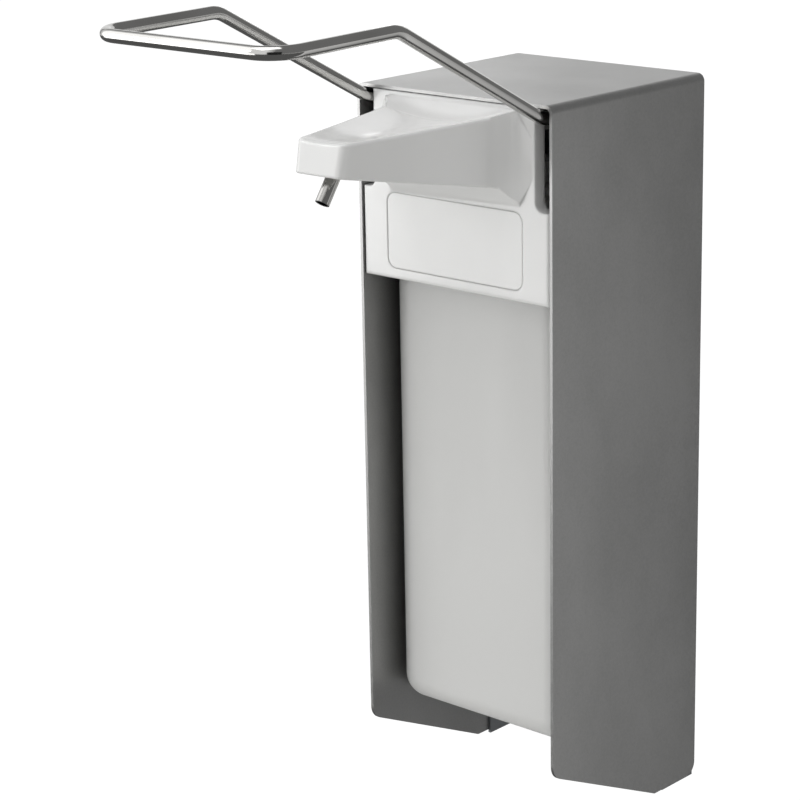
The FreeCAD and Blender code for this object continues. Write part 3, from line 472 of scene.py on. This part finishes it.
def blown_polyethylene():
    """Blow-moulded HDPE: milky and waxy, in faint upright streaks, with painted light that makes it
    lighter towards the base.
    """
    colour = bpy.context.scene.dispenser_finishes.bottle_colour
    material, tree, surface = new_material(
        "blown_polyethylene",
        **{
            "IOR": 1.54, "Transmission Weight": 0.06,
            "Subsurface Weight": 0.35, "Subsurface Scale": 0.004,
            "Subsurface Radius": (1.0, 1.0, 1.0),
        },
    )
    # The hot tube is drawn upright in faint streaks, and painted light and shade make the bottle
    # lighter towards its base and darker towards the top.
    cloud = grain(tree, 24.0, (1.0, 1.0, 0.25))
    place = add(tree, "ShaderNodeTexCoord").outputs["Object"]
    height = add(tree, "ShaderNodeSeparateXYZ", {0: place}).outputs["Z"]
    low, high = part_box("bottle")
    painted_light_by_height = add(
        tree, "ShaderNodeMapRange", span(height, low[2], high[2], 1.0, 0.1)
    ).outputs["Result"]
    # The streaks together with the painted light that lightens the bottle towards its base.
    milky = add(
        tree, "ShaderNodeMath", {0: cloud, 1: 0.5, 2: painted_light_by_height}, operation="MULTIPLY_ADD"
    ).outputs[0]
    colour_follows(tree, surface, milky, scaled(colour, 0.84), tuple(colour), (0.4, 0.9))
    skin = grain(tree, 420.0)
    roughness_follows(tree, surface, skin, 0.3, 0.42)
    # Blown walls are a little uneven, in waves of 15 to 20 mm, under a sandblasted skin.
    wave = grain(tree, 55.0, detail=1.0)
    both = add(
        tree, "ShaderNodeMath", {0: skin, 1: 0.08, 2: wave}, operation="MULTIPLY_ADD"
    ).outputs[0]
    relief(tree, surface, both, 0.25, 0.6)
    return material


def moulded_plastic(name, light, dark, roughness, ior, grit_mm):
    """A moulded technical plastic: nearly even colour, spark-eroded with the given grit."""
    material, tree, surface = new_material(name, IOR=ior)
    colour_follows(tree, surface, grain(tree, 60.0), srgb(dark), srgb(light))
    erosion = grain(tree, 1000.0 / grit_mm, detail=2.0)
    roughness_follows(tree, surface, erosion, roughness, roughness + 0.1)
    relief(tree, surface, erosion, 0.015)
    return material


def nitrile_rubber():
    """Nitrile rubber seals: near black, dull, with a fine bloom."""
    material, tree, surface = new_material("nitrile_rubber", IOR=1.52)
    bloom = grain(tree, 700.0)
    colour_follows(tree, surface, bloom, srgb("1b1b1c"), srgb("2b2b2c"))
    roughness_follows(tree, surface, bloom, 0.55, 0.7)
    return material


# Name, light and dark tone, roughness, IOR and grit in millimetres of each moulded plastic.
PLASTICS = {
    "nylon": ("glass_filled_nylon", "4a4b4d", "3c3d3f", 0.5, 1.53, 0.4),
    "acetal": ("acetal", "e4e3dd", "d6d5cf", 0.28, 1.48, 0.5),
    "polypropylene": ("polypropylene", "e6e6e3", "dadad7", 0.35, 1.49, 0.5),
    "cap": ("cap_polypropylene", "cfcfcd", "c2c2c0", 0.4, 1.49, 0.6),
    "ldpe": ("soft_polyethylene", "d9dbdc", "cdcfd0", 0.32, 1.51, 0.8),
}
MAKERS = {
    "anodised": anodised_aluminium,
    "galvanised": galvanised_steel,
    "rod": lambda: polished_rod_steel("polished_rod_steel", "cfcecc", 0.07),
    "spout": lambda: polished_rod_steel("drawn_tube_steel", "bdbcba", 0.06),
    "zinc": zinc_plated_steel,
    "wire": spring_wire,
    "abs": gloss_abs,
    "label": label_plate,
    "hdpe": blown_polyethylene,
    "rubber": nitrile_rubber,
}
FINISHES = {}


def finish_named(name):
    """Makes each finish once, the first time that a piece asks for it."""
    if name not in FINISHES:
        plastic = PLASTICS.get(name)
        FINISHES[name] = moulded_plastic(*plastic) if plastic else MAKERS[name]()
    return FINISHES[name]


# Settings that a user would change


class DispenserFinishes(bpy.types.PropertyGroup):
    housing_colour: FloatVectorProperty(
        name="Housing", description="Colour of the anodised sheet", subtype="COLOR", size=4,
        min=0.0, max=1.0, default=srgb("b6b6b5"),
    )
    cover_colour: FloatVectorProperty(
        name="Cover", description="Colour of the moulded front cover", subtype="COLOR", size=4,
        min=0.0, max=1.0, default=srgb("ededec"),
    )
    bottle_colour: FloatVectorProperty(
        name="Bottle", description="Colour of the milky bottle", subtype="COLOR", size=4,
        min=0.0, max=1.0, default=srgb("e9e9e7"),
    )
    edge_softness: FloatProperty(
        name="Edge softness",
        description="Radius at which the moulded edges look broken, in millimetres",
        default=1.3, min=0.1, max=3.0,
    )


class LeverSizes(bpy.types.PropertyGroup):
    rod_radius: FloatProperty(
        name="Rod radius", description="Half the rod's thickness", default=0.00235,
        subtype="DISTANCE",
    )
    stub_start: FloatProperty(
        name="Stub start", description="Where each axle stub ends inside the rocker",
        default=0.0145, subtype="DISTANCE",
    )
    axle_corner: FloatVectorProperty(
        name="Axle corner", description="Corner of the rod at the right end of its axle", size=3,
        default=(0.041, -0.014, 0.1165), subtype="XYZ_LENGTH",
    )
    slot_bend: FloatVectorProperty(
        name="Slot bend", description="Corner of the rod at the cover's notch", size=3,
        default=(0.041, -0.0892, 0.1209), subtype="XYZ_LENGTH",
    )
    upper_bend: FloatVectorProperty(
        name="Upper bend", description="Corner of the rod at the top of its slope", size=3,
        default=(0.04168, -0.1635, 0.16), subtype="XYZ_LENGTH",
    )
    front_corner: FloatVectorProperty(
        name="Front corner", description="Corner of the rod at the front bar", size=3,
        default=(0.0422, -0.2196, 0.159), subtype="XYZ_LENGTH",
    )
    sides: IntProperty(name="Sides", description="Faces round the rod", default=40, min=12, max=96)
    arc_steps: IntProperty(
        name="Arc steps", description="Points in each bend", default=20, min=4, max=64
    )


class SpoutSizes(bpy.types.PropertyGroup):
    radius: FloatProperty(
        name="Radius", description="Outer radius of the tube", default=0.0026, subtype="DISTANCE"
    )
    wall: FloatProperty(
        name="Wall", description="Thickness of the tube's wall", default=0.0007, subtype="DISTANCE"
    )
    tip_radius: FloatProperty(
        name="Tip radius", description="Outer radius at the mouth", default=0.0022,
        subtype="DISTANCE",
    )
    taper: FloatProperty(
        name="Taper", description="Length of the drawn tip", default=0.008, subtype="DISTANCE"
    )


class CapSizes(bpy.types.PropertyGroup):
    ribs: IntProperty(
        name="Ribs", description="Grip ribs round the neck cap", default=60, min=12, max=120
    )
    rib_height: FloatProperty(
        name="Rib height", description="Length of each rib", default=0.0046, subtype="DISTANCE"
    )
    rib_radius: FloatProperty(
        name="Rib radius", description="Half the rib's thickness", default=0.0005,
        subtype="DISTANCE",
    )
    rib_start: FloatProperty(
        name="Rib start", description="Height of the ribs above the cap's rim", default=0.0004,
        subtype="DISTANCE",
    )


class StudioSettings(bpy.types.PropertyGroup):
    key_power: FloatProperty(
        name="Key", description="Power of the large soft lamp", default=11.3, unit="POWER"
    )
    top_power: FloatProperty(
        name="Top", description="Power of the lamp overhead", default=9.0, unit="POWER"
    )
    low_power: FloatProperty(
        name="Low", description="Power of the lamp low at the front", default=5.0, unit="POWER"
    )
    sky: FloatProperty(name="Sky", description="Level of the even light all round", default=0.53)
    floor_level: FloatProperty(
        name="Floor", description="Height of the floor", default=-0.45, subtype="DISTANCE"
    )


# Pieces


class DISPENSER_OT_housing(bpy.types.Operator):
    """Dress the folded housing, its back plate and shelf, the pump carrier and the bushes"""

    bl_idname = "dispenser.housing"
    bl_label = "Housing"

    def execute(self, context):
        shell = dressed_copy("housing_shell", "housing_sheet", finish_named("anodised"), angle=24.0)
        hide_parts("housing_shell")
        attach(shell, "housing")
        give("back_plate", finish_named("galvanised"))
        give("bottle_shelf", finish_named("galvanised"))
        give("pump_carrier", finish_named("nylon"))
        give("pivot_bushes", finish_named("acetal"))
        return {"FINISHED"}


# Faces round the heads of the screws and rivets.
HEAD_SIDES = 28


def lathe(name, profile, steps):
    """A closed solid turned about Z from radius and height pairs, first and last on the axis."""
    vertices = [(0.0, 0.0, profile[0][1])]
    faces = []
    rings = profile[1:-1]
    for radius, height in rings:
        for step in range(steps):
            turn = math.tau * step / steps
            vertices.append((radius * math.cos(turn), radius * math.sin(turn), height))
    vertices.append((0.0, 0.0, profile[-1][1]))
    last = len(vertices) - 1
    for step in range(steps):
        following = (step + 1) % steps
        faces.append((0, 1 + following, 1 + step))
        for ring in range(len(rings) - 1):
            low = 1 + ring * steps
            high = low + steps
            faces.append((low + step, low + following, high + following, high + step))
        top = 1 + (len(rings) - 1) * steps
        faces.append((top + step, top + following, last))
    return mesh_from(name, vertices, (), faces)


def cross_recess(mesh, width, reach, depth, top):
    """Sinks a cross-shaped driver recess into the top of a screw head."""
    head = plain_object("screw_head", mesh)
    cutter_mesh = bpy.data.meshes.new("driver")
    work = bmesh.new()
    for long_x, long_y in ((reach, width), (width, reach)):
        made = bmesh.ops.create_cube(work, size=1.0)["verts"]
        bmesh.ops.scale(work, vec=(long_x, long_y, 2 * depth), verts=made)
        bmesh.ops.translate(work, vec=(0, 0, top), verts=made)
    work.to_mesh(cutter_mesh)
    work.free()
    cutter = plain_object("driver", cutter_mesh)
    cut = head.modifiers.new("Recess", "BOOLEAN")
    cut.object = cutter
    cut.solver = "EXACT"
    cut.use_self = True
    settled(head)
    bpy.data.objects.remove(cutter)
    return head


def screw_piece(name, radius, head_radius, head_height, length):
    """A pan-head screw along Z, its head's seat at zero and its shank below."""
    crown = head_height * 0.35
    profile = [
        (0.0, -length),
        (radius * 0.7, -length),
        (radius, -length + radius * 0.4),
        (radius, -0.0001),
        (radius, 0.0),
        (head_radius, 0.0),
        (head_radius, head_height - crown),
        (head_radius * 0.93, head_height - crown * 0.45),
        (head_radius * 0.75, head_height - crown * 0.12),
        (head_radius * 0.45, head_height),
        (0.0, head_height),
    ]
    mesh = lathe(name, profile, HEAD_SIDES)
    return cross_recess(
        mesh, width=head_radius * 0.28, reach=head_radius * 1.25, depth=head_height * 0.55,
        top=head_height,
    )


def rivet_piece(name, radius, head_radius, head_height, length):
    """A domed blind rivet along Z with the small pit of its mandrel."""
    profile = [
        (0.0, -length),
        (radius, -length),
        (radius, 0.0),
        (head_radius, 0.0),
        (head_radius * 0.97, head_height * 0.45),
        (head_radius * 0.8, head_height * 0.85),
        (head_radius * 0.5, head_height),
        (head_radius * 0.36, head_height),
        (head_radius * 0.32, head_height * 0.55),
        (0.0, head_height * 0.55),
    ]
    return plain_object(name, lathe(name, profile, HEAD_SIDES))


def set_at(name, piece, points, lean, seed, nodes, body):
    """Repeats a small zinc-plated piece at points and lets it stand for its CAD node."""
    values = {"Piece": piece, "Lean": lean, "Seed": seed, "Material": finish_named("zinc")}
    made = grown(name, mesh_from(name, points), repeat_tree(), values)
    bpy.data.objects.remove(piece)
    smooth_by_angle(made.data, 35.0)
    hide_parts(nodes)
    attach(made, body)


# Sizes of the small screws and rivets, as in the CAD, and where they sit across the part.
CARRIER_SCREW = {"radius": 0.0019, "head_radius": 0.0035, "head_height": 0.002, "length": 0.0037}
COVER_SCREW = {"radius": 0.0014, "head_radius": 0.0028, "head_height": 0.0018, "length": 0.0045}
SHELF_RIVET = {"radius": 0.0016, "head_radius": 0.003, "head_height": 0.001, "length": 0.0024}
COVER_SCREW_ROW = (-0.009, 0.009)
SHELF_RIVET_ROW = (-0.03, -0.012, 0.012, 0.03)
FACING_FRONT = (math.pi / 2, 0.0, 0.0)
FACING_UP = (0.0, 0.0, 0.0)


class DISPENSER_OT_fasteners(bpy.types.Operator):
    """Set the screws and rivets with their real heads, and dress the set screws"""

    bl_idname = "dispenser.fasteners"
    bl_label = "Screws and rivets"

    def execute(self, context):
        low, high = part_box("carrier_screws")
        head = CARRIER_SCREW["head_radius"]
        side = high[0] - head
        seat = low[1] + CARRIER_SCREW["head_height"]
        screw = screw_piece("carrier_screw", **CARRIER_SCREW)
        places = [
            Vector((x, seat, z)) for z in (low[2] + head, high[2] - head) for x in (-side, side)
        ]
        set_at(
            "bracket_screws", screw, places, FACING_FRONT, seed=3,
            nodes="carrier_screws", body="housing",
        )
        low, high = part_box("shelf_rivets")
        seat = low[1] + SHELF_RIVET["head_height"]
        rivet = rivet_piece("shelf_rivet", **SHELF_RIVET)
        row = [Vector((x, seat, (low[2] + high[2]) / 2)) for x in SHELF_RIVET_ROW]
        set_at(
            "shelf_blind_rivets", rivet, row, FACING_FRONT, seed=5,
            nodes="shelf_rivets", body="housing",
        )
        low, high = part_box("cover_screws")
        seat = high[2] - COVER_SCREW["head_height"]
        screw = screw_piece("cover_screw", **COVER_SCREW)
        row = [Vector((x, (low[1] + high[1]) / 2, seat)) for x in COVER_SCREW_ROW]
        set_at(
            "bridge_screws", screw, row, FACING_UP, seed=7,
            nodes="cover_screws", body="refill",
        )
        give("rocker_set_screws", finish_named("zinc"))
        return {"FINISHED"}


# Bend radii of the lever's right half, from its axle to its front bar.
LEVER_BENDS = [0.007, 0.014, 0.012, 0.0105]


class DISPENSER_OT_lever(bpy.types.Operator):
    """Bend the polished rod and dress the rocker and its pad"""

    bl_idname = "dispenser.lever"
    bl_label = "Lever"

    def execute(self, context):
        sizes = context.scene.dispenser_lever
        right = [Vector((sizes.stub_start, sizes.axle_corner[1], sizes.axle_corner[2]))]
        for corner in (sizes.axle_corner, sizes.slot_bend, sizes.upper_bend, sizes.front_corner):
            right.append(Vector(corner))
        left = [Vector((-point.x, point.y, point.z)) for point in reversed(right)]
        base = path_mesh("lever_path", right + left, LEVER_BENDS + LEVER_BENDS[::-1])
        values = {
            "Radius": sizes.rod_radius, "Tip scale": 1.0, "Tip length": 0.001, "Sides": sizes.sides,
            "Arc steps": sizes.arc_steps, "Closed ends": True, "Material": finish_named("rod"),
        }
        rod = grown("lever_bent_rod", base, bent_rod_tree(), values)
        smooth_by_angle(rod.data, 50.0)
        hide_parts("lever_rod")
        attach(rod, "lever")
        give("lever_rocker", finish_named("nylon"))
        give("press_pad", finish_named("acetal"))
        return {"FINISHED"}


class DISPENSER_OT_cover(bpy.types.Operator):
    """Dress the moulded front cover and its bare label plate"""

    bl_idname = "dispenser.cover"
    bl_label = "Front cover"

    def execute(self, context):
        cover = dressed_copy("front_cover", "moulded_cover", finish_named("abs"), angle=26.0)
        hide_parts("front_cover")
        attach(cover, "refill")
        label = dressed_copy("label_insert", "label_plate", finish_named("label"), angle=26.0)
        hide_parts("label_insert")
        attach(label, "refill")
        return {"FINISHED"}


# The outlet tube's slanting end: where its elbow is, its angle from upright and its length.
SPOUT_ELBOW_Y = -0.1477
SPOUT_TILT = math.radians(35.0)
SPOUT_LENGTH = 0.0174
# Bend radii at the tube's upper corner, at its elbow and where it starts to taper.
SPOUT_BENDS = [0.009, 0.007, 0.0]


class DISPENSER_OT_spout(bpy.types.Operator):
    """Draw the metal outlet tube with its slanting mouth, and dress its seal"""

    bl_idname = "dispenser.spout"
    bl_label = "Outlet tube"

    def execute(self, context):
        sizes = context.scene.dispenser_spout
        low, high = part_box("outlet_tube")
        rise_y = high[1] - sizes.radius
        run_z = high[2] - sizes.radius
        foot = Vector((0.0, rise_y, low[2]))
        corner = Vector((0.0, rise_y, run_z))
        elbow = Vector((0.0, SPOUT_ELBOW_Y, run_z))
        tip = elbow + Vector((0.0, -math.sin(SPOUT_TILT), -math.cos(SPOUT_TILT))) * SPOUT_LENGTH
        taper_start = tip.lerp(elbow, sizes.taper / SPOUT_LENGTH)
        base = path_mesh("outlet_path", [foot, corner, elbow, taper_start, tip], SPOUT_BENDS)
        values = {
            "Radius": sizes.radius, "Tip scale": sizes.tip_radius / sizes.radius,
            "Tip length": sizes.taper, "Sides": 36, "Arc steps": 18, "Closed ends": False,
            "Material": finish_named("spout"),
        }
        tube = grown("outlet_drawn_tube", base, bent_rod_tree(), values)
        wall = tube.modifiers.new("Wall", "SOLIDIFY")
        wall.thickness = sizes.wall
        wall.offset = -1.0
        settled(tube)
        smooth_by_angle(tube.data, 45.0)
        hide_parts("outlet_tube")
        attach(tube, "refill")
        give("outlet_seal", finish_named("rubber"))
        return {"FINISHED"}


class DISPENSER_OT_bottle(bpy.types.Operator):
    """Dress the bottle, its cap with grip ribs, the gasket and the suction tube"""

    bl_idname = "dispenser.bottle"
    bl_label = "Bottle"

    def execute(self, context):
        sizes = context.scene.dispenser_cap
        bottle = dressed_copy("bottle", "blown_bottle", finish_named("hdpe"), angle=30.0)
        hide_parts("bottle")
        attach(bottle, "refill")
        low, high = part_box("neck_cap")
        middle = (low + high) / 2
        middle.z = low[2] + sizes.rib_start + sizes.rib_height / 2
        radius = (high[0] - low[0]) / 2
        rib = bpy.data.meshes.new("grip_rib")
        work = bmesh.new()
        bmesh.ops.create_cone(
            work, segments=8, radius1=sizes.rib_radius, radius2=sizes.rib_radius,
            depth=sizes.rib_height, cap_ends=True,
        )
        work.to_mesh(rib)
        work.free()
        piece = plain_object("grip_rib", rib)
        values = {
            "Piece": piece, "Count": sizes.ribs, "Radius": radius, "Centre": middle,
            "Material": finish_named("cap"),
        }
        ribs = grown("cap_grip_ribs", mesh_from("cap_grip_ribs", []), ring_tree(), values)
        bpy.data.objects.remove(piece)
        smooth_by_angle(ribs.data, 50.0)
        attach(ribs, "refill")
        give("neck_cap", finish_named("cap"))
        give("neck_gasket", finish_named("rubber"))
        give("suction_tube", finish_named("ldpe"))
        give("suction_strainer", finish_named("polypropylene"))
        return {"FINISHED"}


class DISPENSER_OT_pump(bpy.types.Operator):
    """Dress the plunger pump, its valves and its spring"""

    bl_idname = "dispenser.pump"
    bl_label = "Pump"

    def execute(self, context):
        for node in ("pump_body", "gland_nut", "plunger_head", "piston", "inlet_valve_seat"):
            give(node, finish_named("polypropylene"))
        for node in ("gland_seal", "piston_ring"):
            give(node, finish_named("rubber"))
        for node in ("inlet_ball", "outlet_ball"):
            give(node, finish_named("wire"))
        give("plunger_rod", finish_named("rod"))
        spring = dressed_copy("return_spring", "coil_spring", finish_named("wire"), angle=60.0)
        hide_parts("return_spring")
        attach(spring, "refill")
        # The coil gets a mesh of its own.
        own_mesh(spring)
        return {"FINISHED"}


# Studio


def lamp(name, place, size, power):
    """A large soft lamp that faces the part."""
    data = bpy.data.lights.new(name, "AREA")
    data.shape = "RECTANGLE"
    data.size = size[0]
    data.size_y = size[1]
    data.energy = power
    light = bpy.data.objects.new(name, data)
    bpy.context.scene.collection.objects.link(light)
    light.location = place
    light.rotation_euler = (Vector(MIDDLE) - Vector(place)).to_track_quat("-Z", "Y").to_euler()


def flat_mesh(name, half_x, half_y, height=0.0):
    """A level rectangle about the Z axis."""
    corners = [(-half_x, -half_y), (half_x, -half_y), (half_x, half_y), (-half_x, half_y)]
    return mesh_from(name, [(x, y, height) for x, y in corners], (), [(0, 1, 2, 3)])


def card(name, place, size, level, far_level=None, fade=(0.0, 1.0), target=MIDDLE):
    """A card that metal reflects, even or fading to a far level over a part of its width."""
    turn = (Vector(target) - Vector(place)).to_track_quat("Z", "Y").to_matrix().to_4x4()
    panel = plain_object(name, flat_mesh(name, size[0] / 2, size[1] / 2))
    panel.matrix_world = Matrix.Translation(place) @ turn
    material, tree = empty_material(name)
    across = add(tree, "ShaderNodeTexCoord").outputs["Object"]
    along = add(tree, "ShaderNodeSeparateXYZ", {0: across}).outputs["X"]
    start, end = ((share - 0.5) * size[0] for share in fade)
    end_level = level if far_level is None else far_level
    levels = span(along, start, end, level, end_level)
    value = add(tree, "ShaderNodeMapRange", levels).outputs["Result"]
    glow = add(tree, "ShaderNodeEmission", {"Color": WHITE, "Strength": value})
    add(tree, "ShaderNodeOutputMaterial", {"Surface": glow.outputs[0]})
    panel.data.materials.append(material)
    # The cards stand outside every picture: only bright surfaces mirror them.
    panel.visible_camera = False
    panel.visible_diffuse = False
    panel.visible_transmission = False
    panel.visible_shadow = False


# The floor's half width, its share of plain white to the eye and in metal, and that white's level.
FLOOR_REACH = 6.0
FLOOR_WHITE_SEEN = 0.92
FLOOR_WHITE_MIRRORED = 0.3
FLOOR_WHITE_LEVEL = 1.1


def seen_rays(tree, rays):
    """One for what the camera sees, also through glass, and nought for the rest."""
    kinds = {0: rays["Is Camera Ray"], 1: rays["Is Transmission Ray"]}
    return add(tree, "ShaderNodeMath", kinds, operation="MAXIMUM").outputs[0]


def pale_floor(level):
    """A wide pale floor that stays near white to the eye and keeps a soft shadow."""
    floor = plain_object("floor", flat_mesh("floor", FLOOR_REACH, FLOOR_REACH, level))
    material, tree = empty_material("pale_floor")
    diffuse = add(tree, "ShaderNodeBsdfDiffuse", {"Color": srgb("e4e4e2")}).outputs[0]
    rays = add(tree, "ShaderNodeLightPath").outputs
    seen = {0: seen_rays(tree, rays), 1: FLOOR_WHITE_SEEN}
    mirrored = {0: rays["Is Glossy Ray"], 1: FLOOR_WHITE_MIRRORED}
    bright = add(tree, "ShaderNodeMath", seen, operation="MULTIPLY").outputs[0]
    glossy = add(tree, "ShaderNodeMath", mirrored, operation="MULTIPLY").outputs[0]
    share = add(tree, "ShaderNodeMath", {0: bright, 1: glossy}, operation="MAXIMUM").outputs[0]
    white = add(tree, "ShaderNodeEmission", {"Color": WHITE, "Strength": FLOOR_WHITE_LEVEL})
    mixed = add(tree, "ShaderNodeMixShader", {0: share, 1: diffuse, 2: white.outputs[0]})
    add(tree, "ShaderNodeOutputMaterial", {"Surface": mixed.outputs[0]})
    floor.data.materials.append(material)


def even_sky(level):
    """Even light, white to the eye, that metal mirrors bright at the front left and dim behind."""
    world = bpy.data.worlds.new("studio")
    bpy.context.scene.world = world
    world.use_nodes = True
    tree = world.node_tree
    tree.nodes.clear()
    light = add(tree, "ShaderNodeBackground", {"Color": WHITE, "Strength": level}).outputs[0]
    white = add(tree, "ShaderNodeBackground", {"Color": WHITE, "Strength": 1.0}).outputs[0]
    heading = add(tree, "ShaderNodeTexCoord").outputs["Generated"]
    front_left = Vector((-0.6, -0.75, 0.3)).normalized()
    facing = add(
        tree, "ShaderNodeVectorMath", {0: heading, 1: tuple(front_left)}, operation="DOT_PRODUCT"
    ).outputs["Value"]
    # The mirrored level rises from 73 to 52 degrees off the front left.
    rise = add(tree, "ShaderNodeMapRange", span(facing, 0.3, 0.62, 0.2, 1.0)).outputs["Result"]
    studio = add(tree, "ShaderNodeBackground", {"Color": WHITE, "Strength": rise}).outputs[0]
    rays = add(tree, "ShaderNodeLightPath").outputs
    seen = {0: seen_rays(tree, rays), 1: light, 2: white}
    lit = add(tree, "ShaderNodeMixShader", seen).outputs[0]
    mirrored = {0: rays["Is Glossy Ray"], 1: lit, 2: studio}
    mixed = add(tree, "ShaderNodeMixShader", mirrored).outputs[0]
    add(tree, "ShaderNodeOutputWorld", {"Surface": mixed})


# The camera as fitted to the photograph: place, yaw, pitch and roll in degrees, and lens.
CAMERA_PLACE = (0.5923, -0.7709, 0.2730)
CAMERA_TURN = (42.310, 16.090, -1.088)
FOCAL_PIXELS = 2546.6
PICTURE_PIXELS = 800
SENSOR_MM = 36.0


def photo_camera():
    """The camera at the photograph's place, tilt and lens."""
    yaw, pitch, roll = (math.radians(degrees) for degrees in CAMERA_TURN)
    right = Vector((math.cos(yaw), math.sin(yaw), 0.0))
    level = Vector((-math.sin(yaw), math.cos(yaw), 0.0))
    ahead = level * math.cos(pitch) - Vector((0, 0, math.sin(pitch)))
    up = level * math.sin(pitch) + Vector((0, 0, math.cos(pitch)))
    turned_right = right * math.cos(roll) + up * math.sin(roll)
    turned_up = up * math.cos(roll) - right * math.sin(roll)
    data = bpy.data.cameras.new("camera")
    data.sensor_width = SENSOR_MM
    data.lens = FOCAL_PIXELS / PICTURE_PIXELS * SENSOR_MM
    data.clip_start = 0.01
    camera = bpy.data.objects.new("camera", data)
    bpy.context.scene.collection.objects.link(camera)
    turn = Matrix((turned_right, turned_up, -ahead)).transposed().to_4x4()
    camera.matrix_world = Matrix.Translation(CAMERA_PLACE) @ turn
    bpy.context.scene.camera = camera


class DISPENSER_OT_studio(bpy.types.Operator):
    """Set the lamps, the cards, the floor, the sky and the camera"""

    bl_idname = "dispenser.studio"
    bl_label = "Studio"

    def execute(self, context):
        sizes = context.scene.dispenser_studio
        lamp("key_lamp", place=(-1.6, -1.05, 0.3), size=(1.3, 1.9), power=sizes.key_power)
        lamp("top_lamp", place=(-0.3, -0.5, 1.7), size=(1.3, 1.3), power=sizes.top_power)
        lamp("low_lamp", place=(-1.15, -1.4, -0.25), size=(1.6, 0.6), power=sizes.low_power)
        card(
            "grey_card_right", place=(0.27, 0.18, -0.13), size=(0.4, 0.5), level=0.02,
            far_level=0.78, target=(0.0, 0.18, -0.13),
        )
        card("grey_card_left", place=(-1.3, 1.45, 0.55), size=(2.2, 1.2), level=0.85)
        card(
            "roof_card_left", place=(-1.29, 1.394, 0.0), size=(0.22, 0.78), level=3.9,
            far_level=0.85, fade=(0.55, 1.0),
        )
        card(
            "dark_card_floor", place=(0.0, 0.0, sizes.floor_level + 0.01), size=(7.0, 7.0),
            level=0.12, target=(0.0, 0.0, 1.0),
        )
        card(
            "strip_card_left", place=(-0.96, -0.86, 0.72), size=(1.3, 1.2), level=1.7,
            target=(0.0, -0.86, 0.72),
        )
        card(
            "highlight_card", place=(-0.81, -0.94, 0.55), size=(0.5, 0.13), level=9.0,
            target=(0.0, -0.09, 0.12),
        )
        card("black_card_front", place=(1.25, -1.7, 0.3), size=(1.5, 1.4), level=0.02)
        pale_floor(sizes.floor_level)
        even_sky(sizes.sky)
        photo_camera()
        context.scene.view_settings.view_transform = "Standard"
        return {"FINISHED"}


OPERATORS = (
    DISPENSER_OT_housing,
    DISPENSER_OT_fasteners,
    DISPENSER_OT_lever,
    DISPENSER_OT_cover,
    DISPENSER_OT_spout,
    DISPENSER_OT_bottle,
    DISPENSER_OT_pump,
    DISPENSER_OT_studio,
)

GROUPS = {
    "dispenser_finishes": DispenserFinishes,
    "dispenser_lever": LeverSizes,
    "dispenser_spout": SpoutSizes,
    "dispenser_cap": CapSizes,
    "dispenser_studio": StudioSettings,
}


class DISPENSER_PT_panel(bpy.types.Panel):
    """Sizes, colours and the steps that make the pieces"""

    bl_idname = "DISPENSER_PT_panel"
    bl_label = "Dispenser"
    bl_space_type = "VIEW_3D"
    bl_region_type = "UI"
    bl_category = "Dispenser"

    def draw(self, context):
        layout = self.layout
        for name, group in GROUPS.items():
            box = layout.box()
            for label in group.__annotations__:
                box.prop(getattr(context.scene, name), label)
        for operator in OPERATORS:
            layout.operator(operator.bl_idname)


def register():
    for group in GROUPS.values():
        bpy.utils.register_class(group)
    for operator in OPERATORS:
        bpy.utils.register_class(operator)
    bpy.utils.register_class(DISPENSER_PT_panel)
    for name, group in GROUPS.items():
        setattr(bpy.types.Scene, name, PointerProperty(type=group))


def unregister():
    for name in GROUPS:
        delattr(bpy.types.Scene, name)
    bpy.utils.unregister_class(DISPENSER_PT_panel)
    for operator in reversed(OPERATORS):
        bpy.utils.unregister_class(operator)
    for group in reversed(list(GROUPS.values())):
        bpy.utils.unregister_class(group)


def main():
    register()
    for operator in OPERATORS:
        step = operator.bl_idname.split(".")[1]
        if getattr(bpy.ops.dispenser, step)() != {"FINISHED"}:
            raise RuntimeError("The step " + step + " did not finish")


if __name__ == "__main__":
    main()
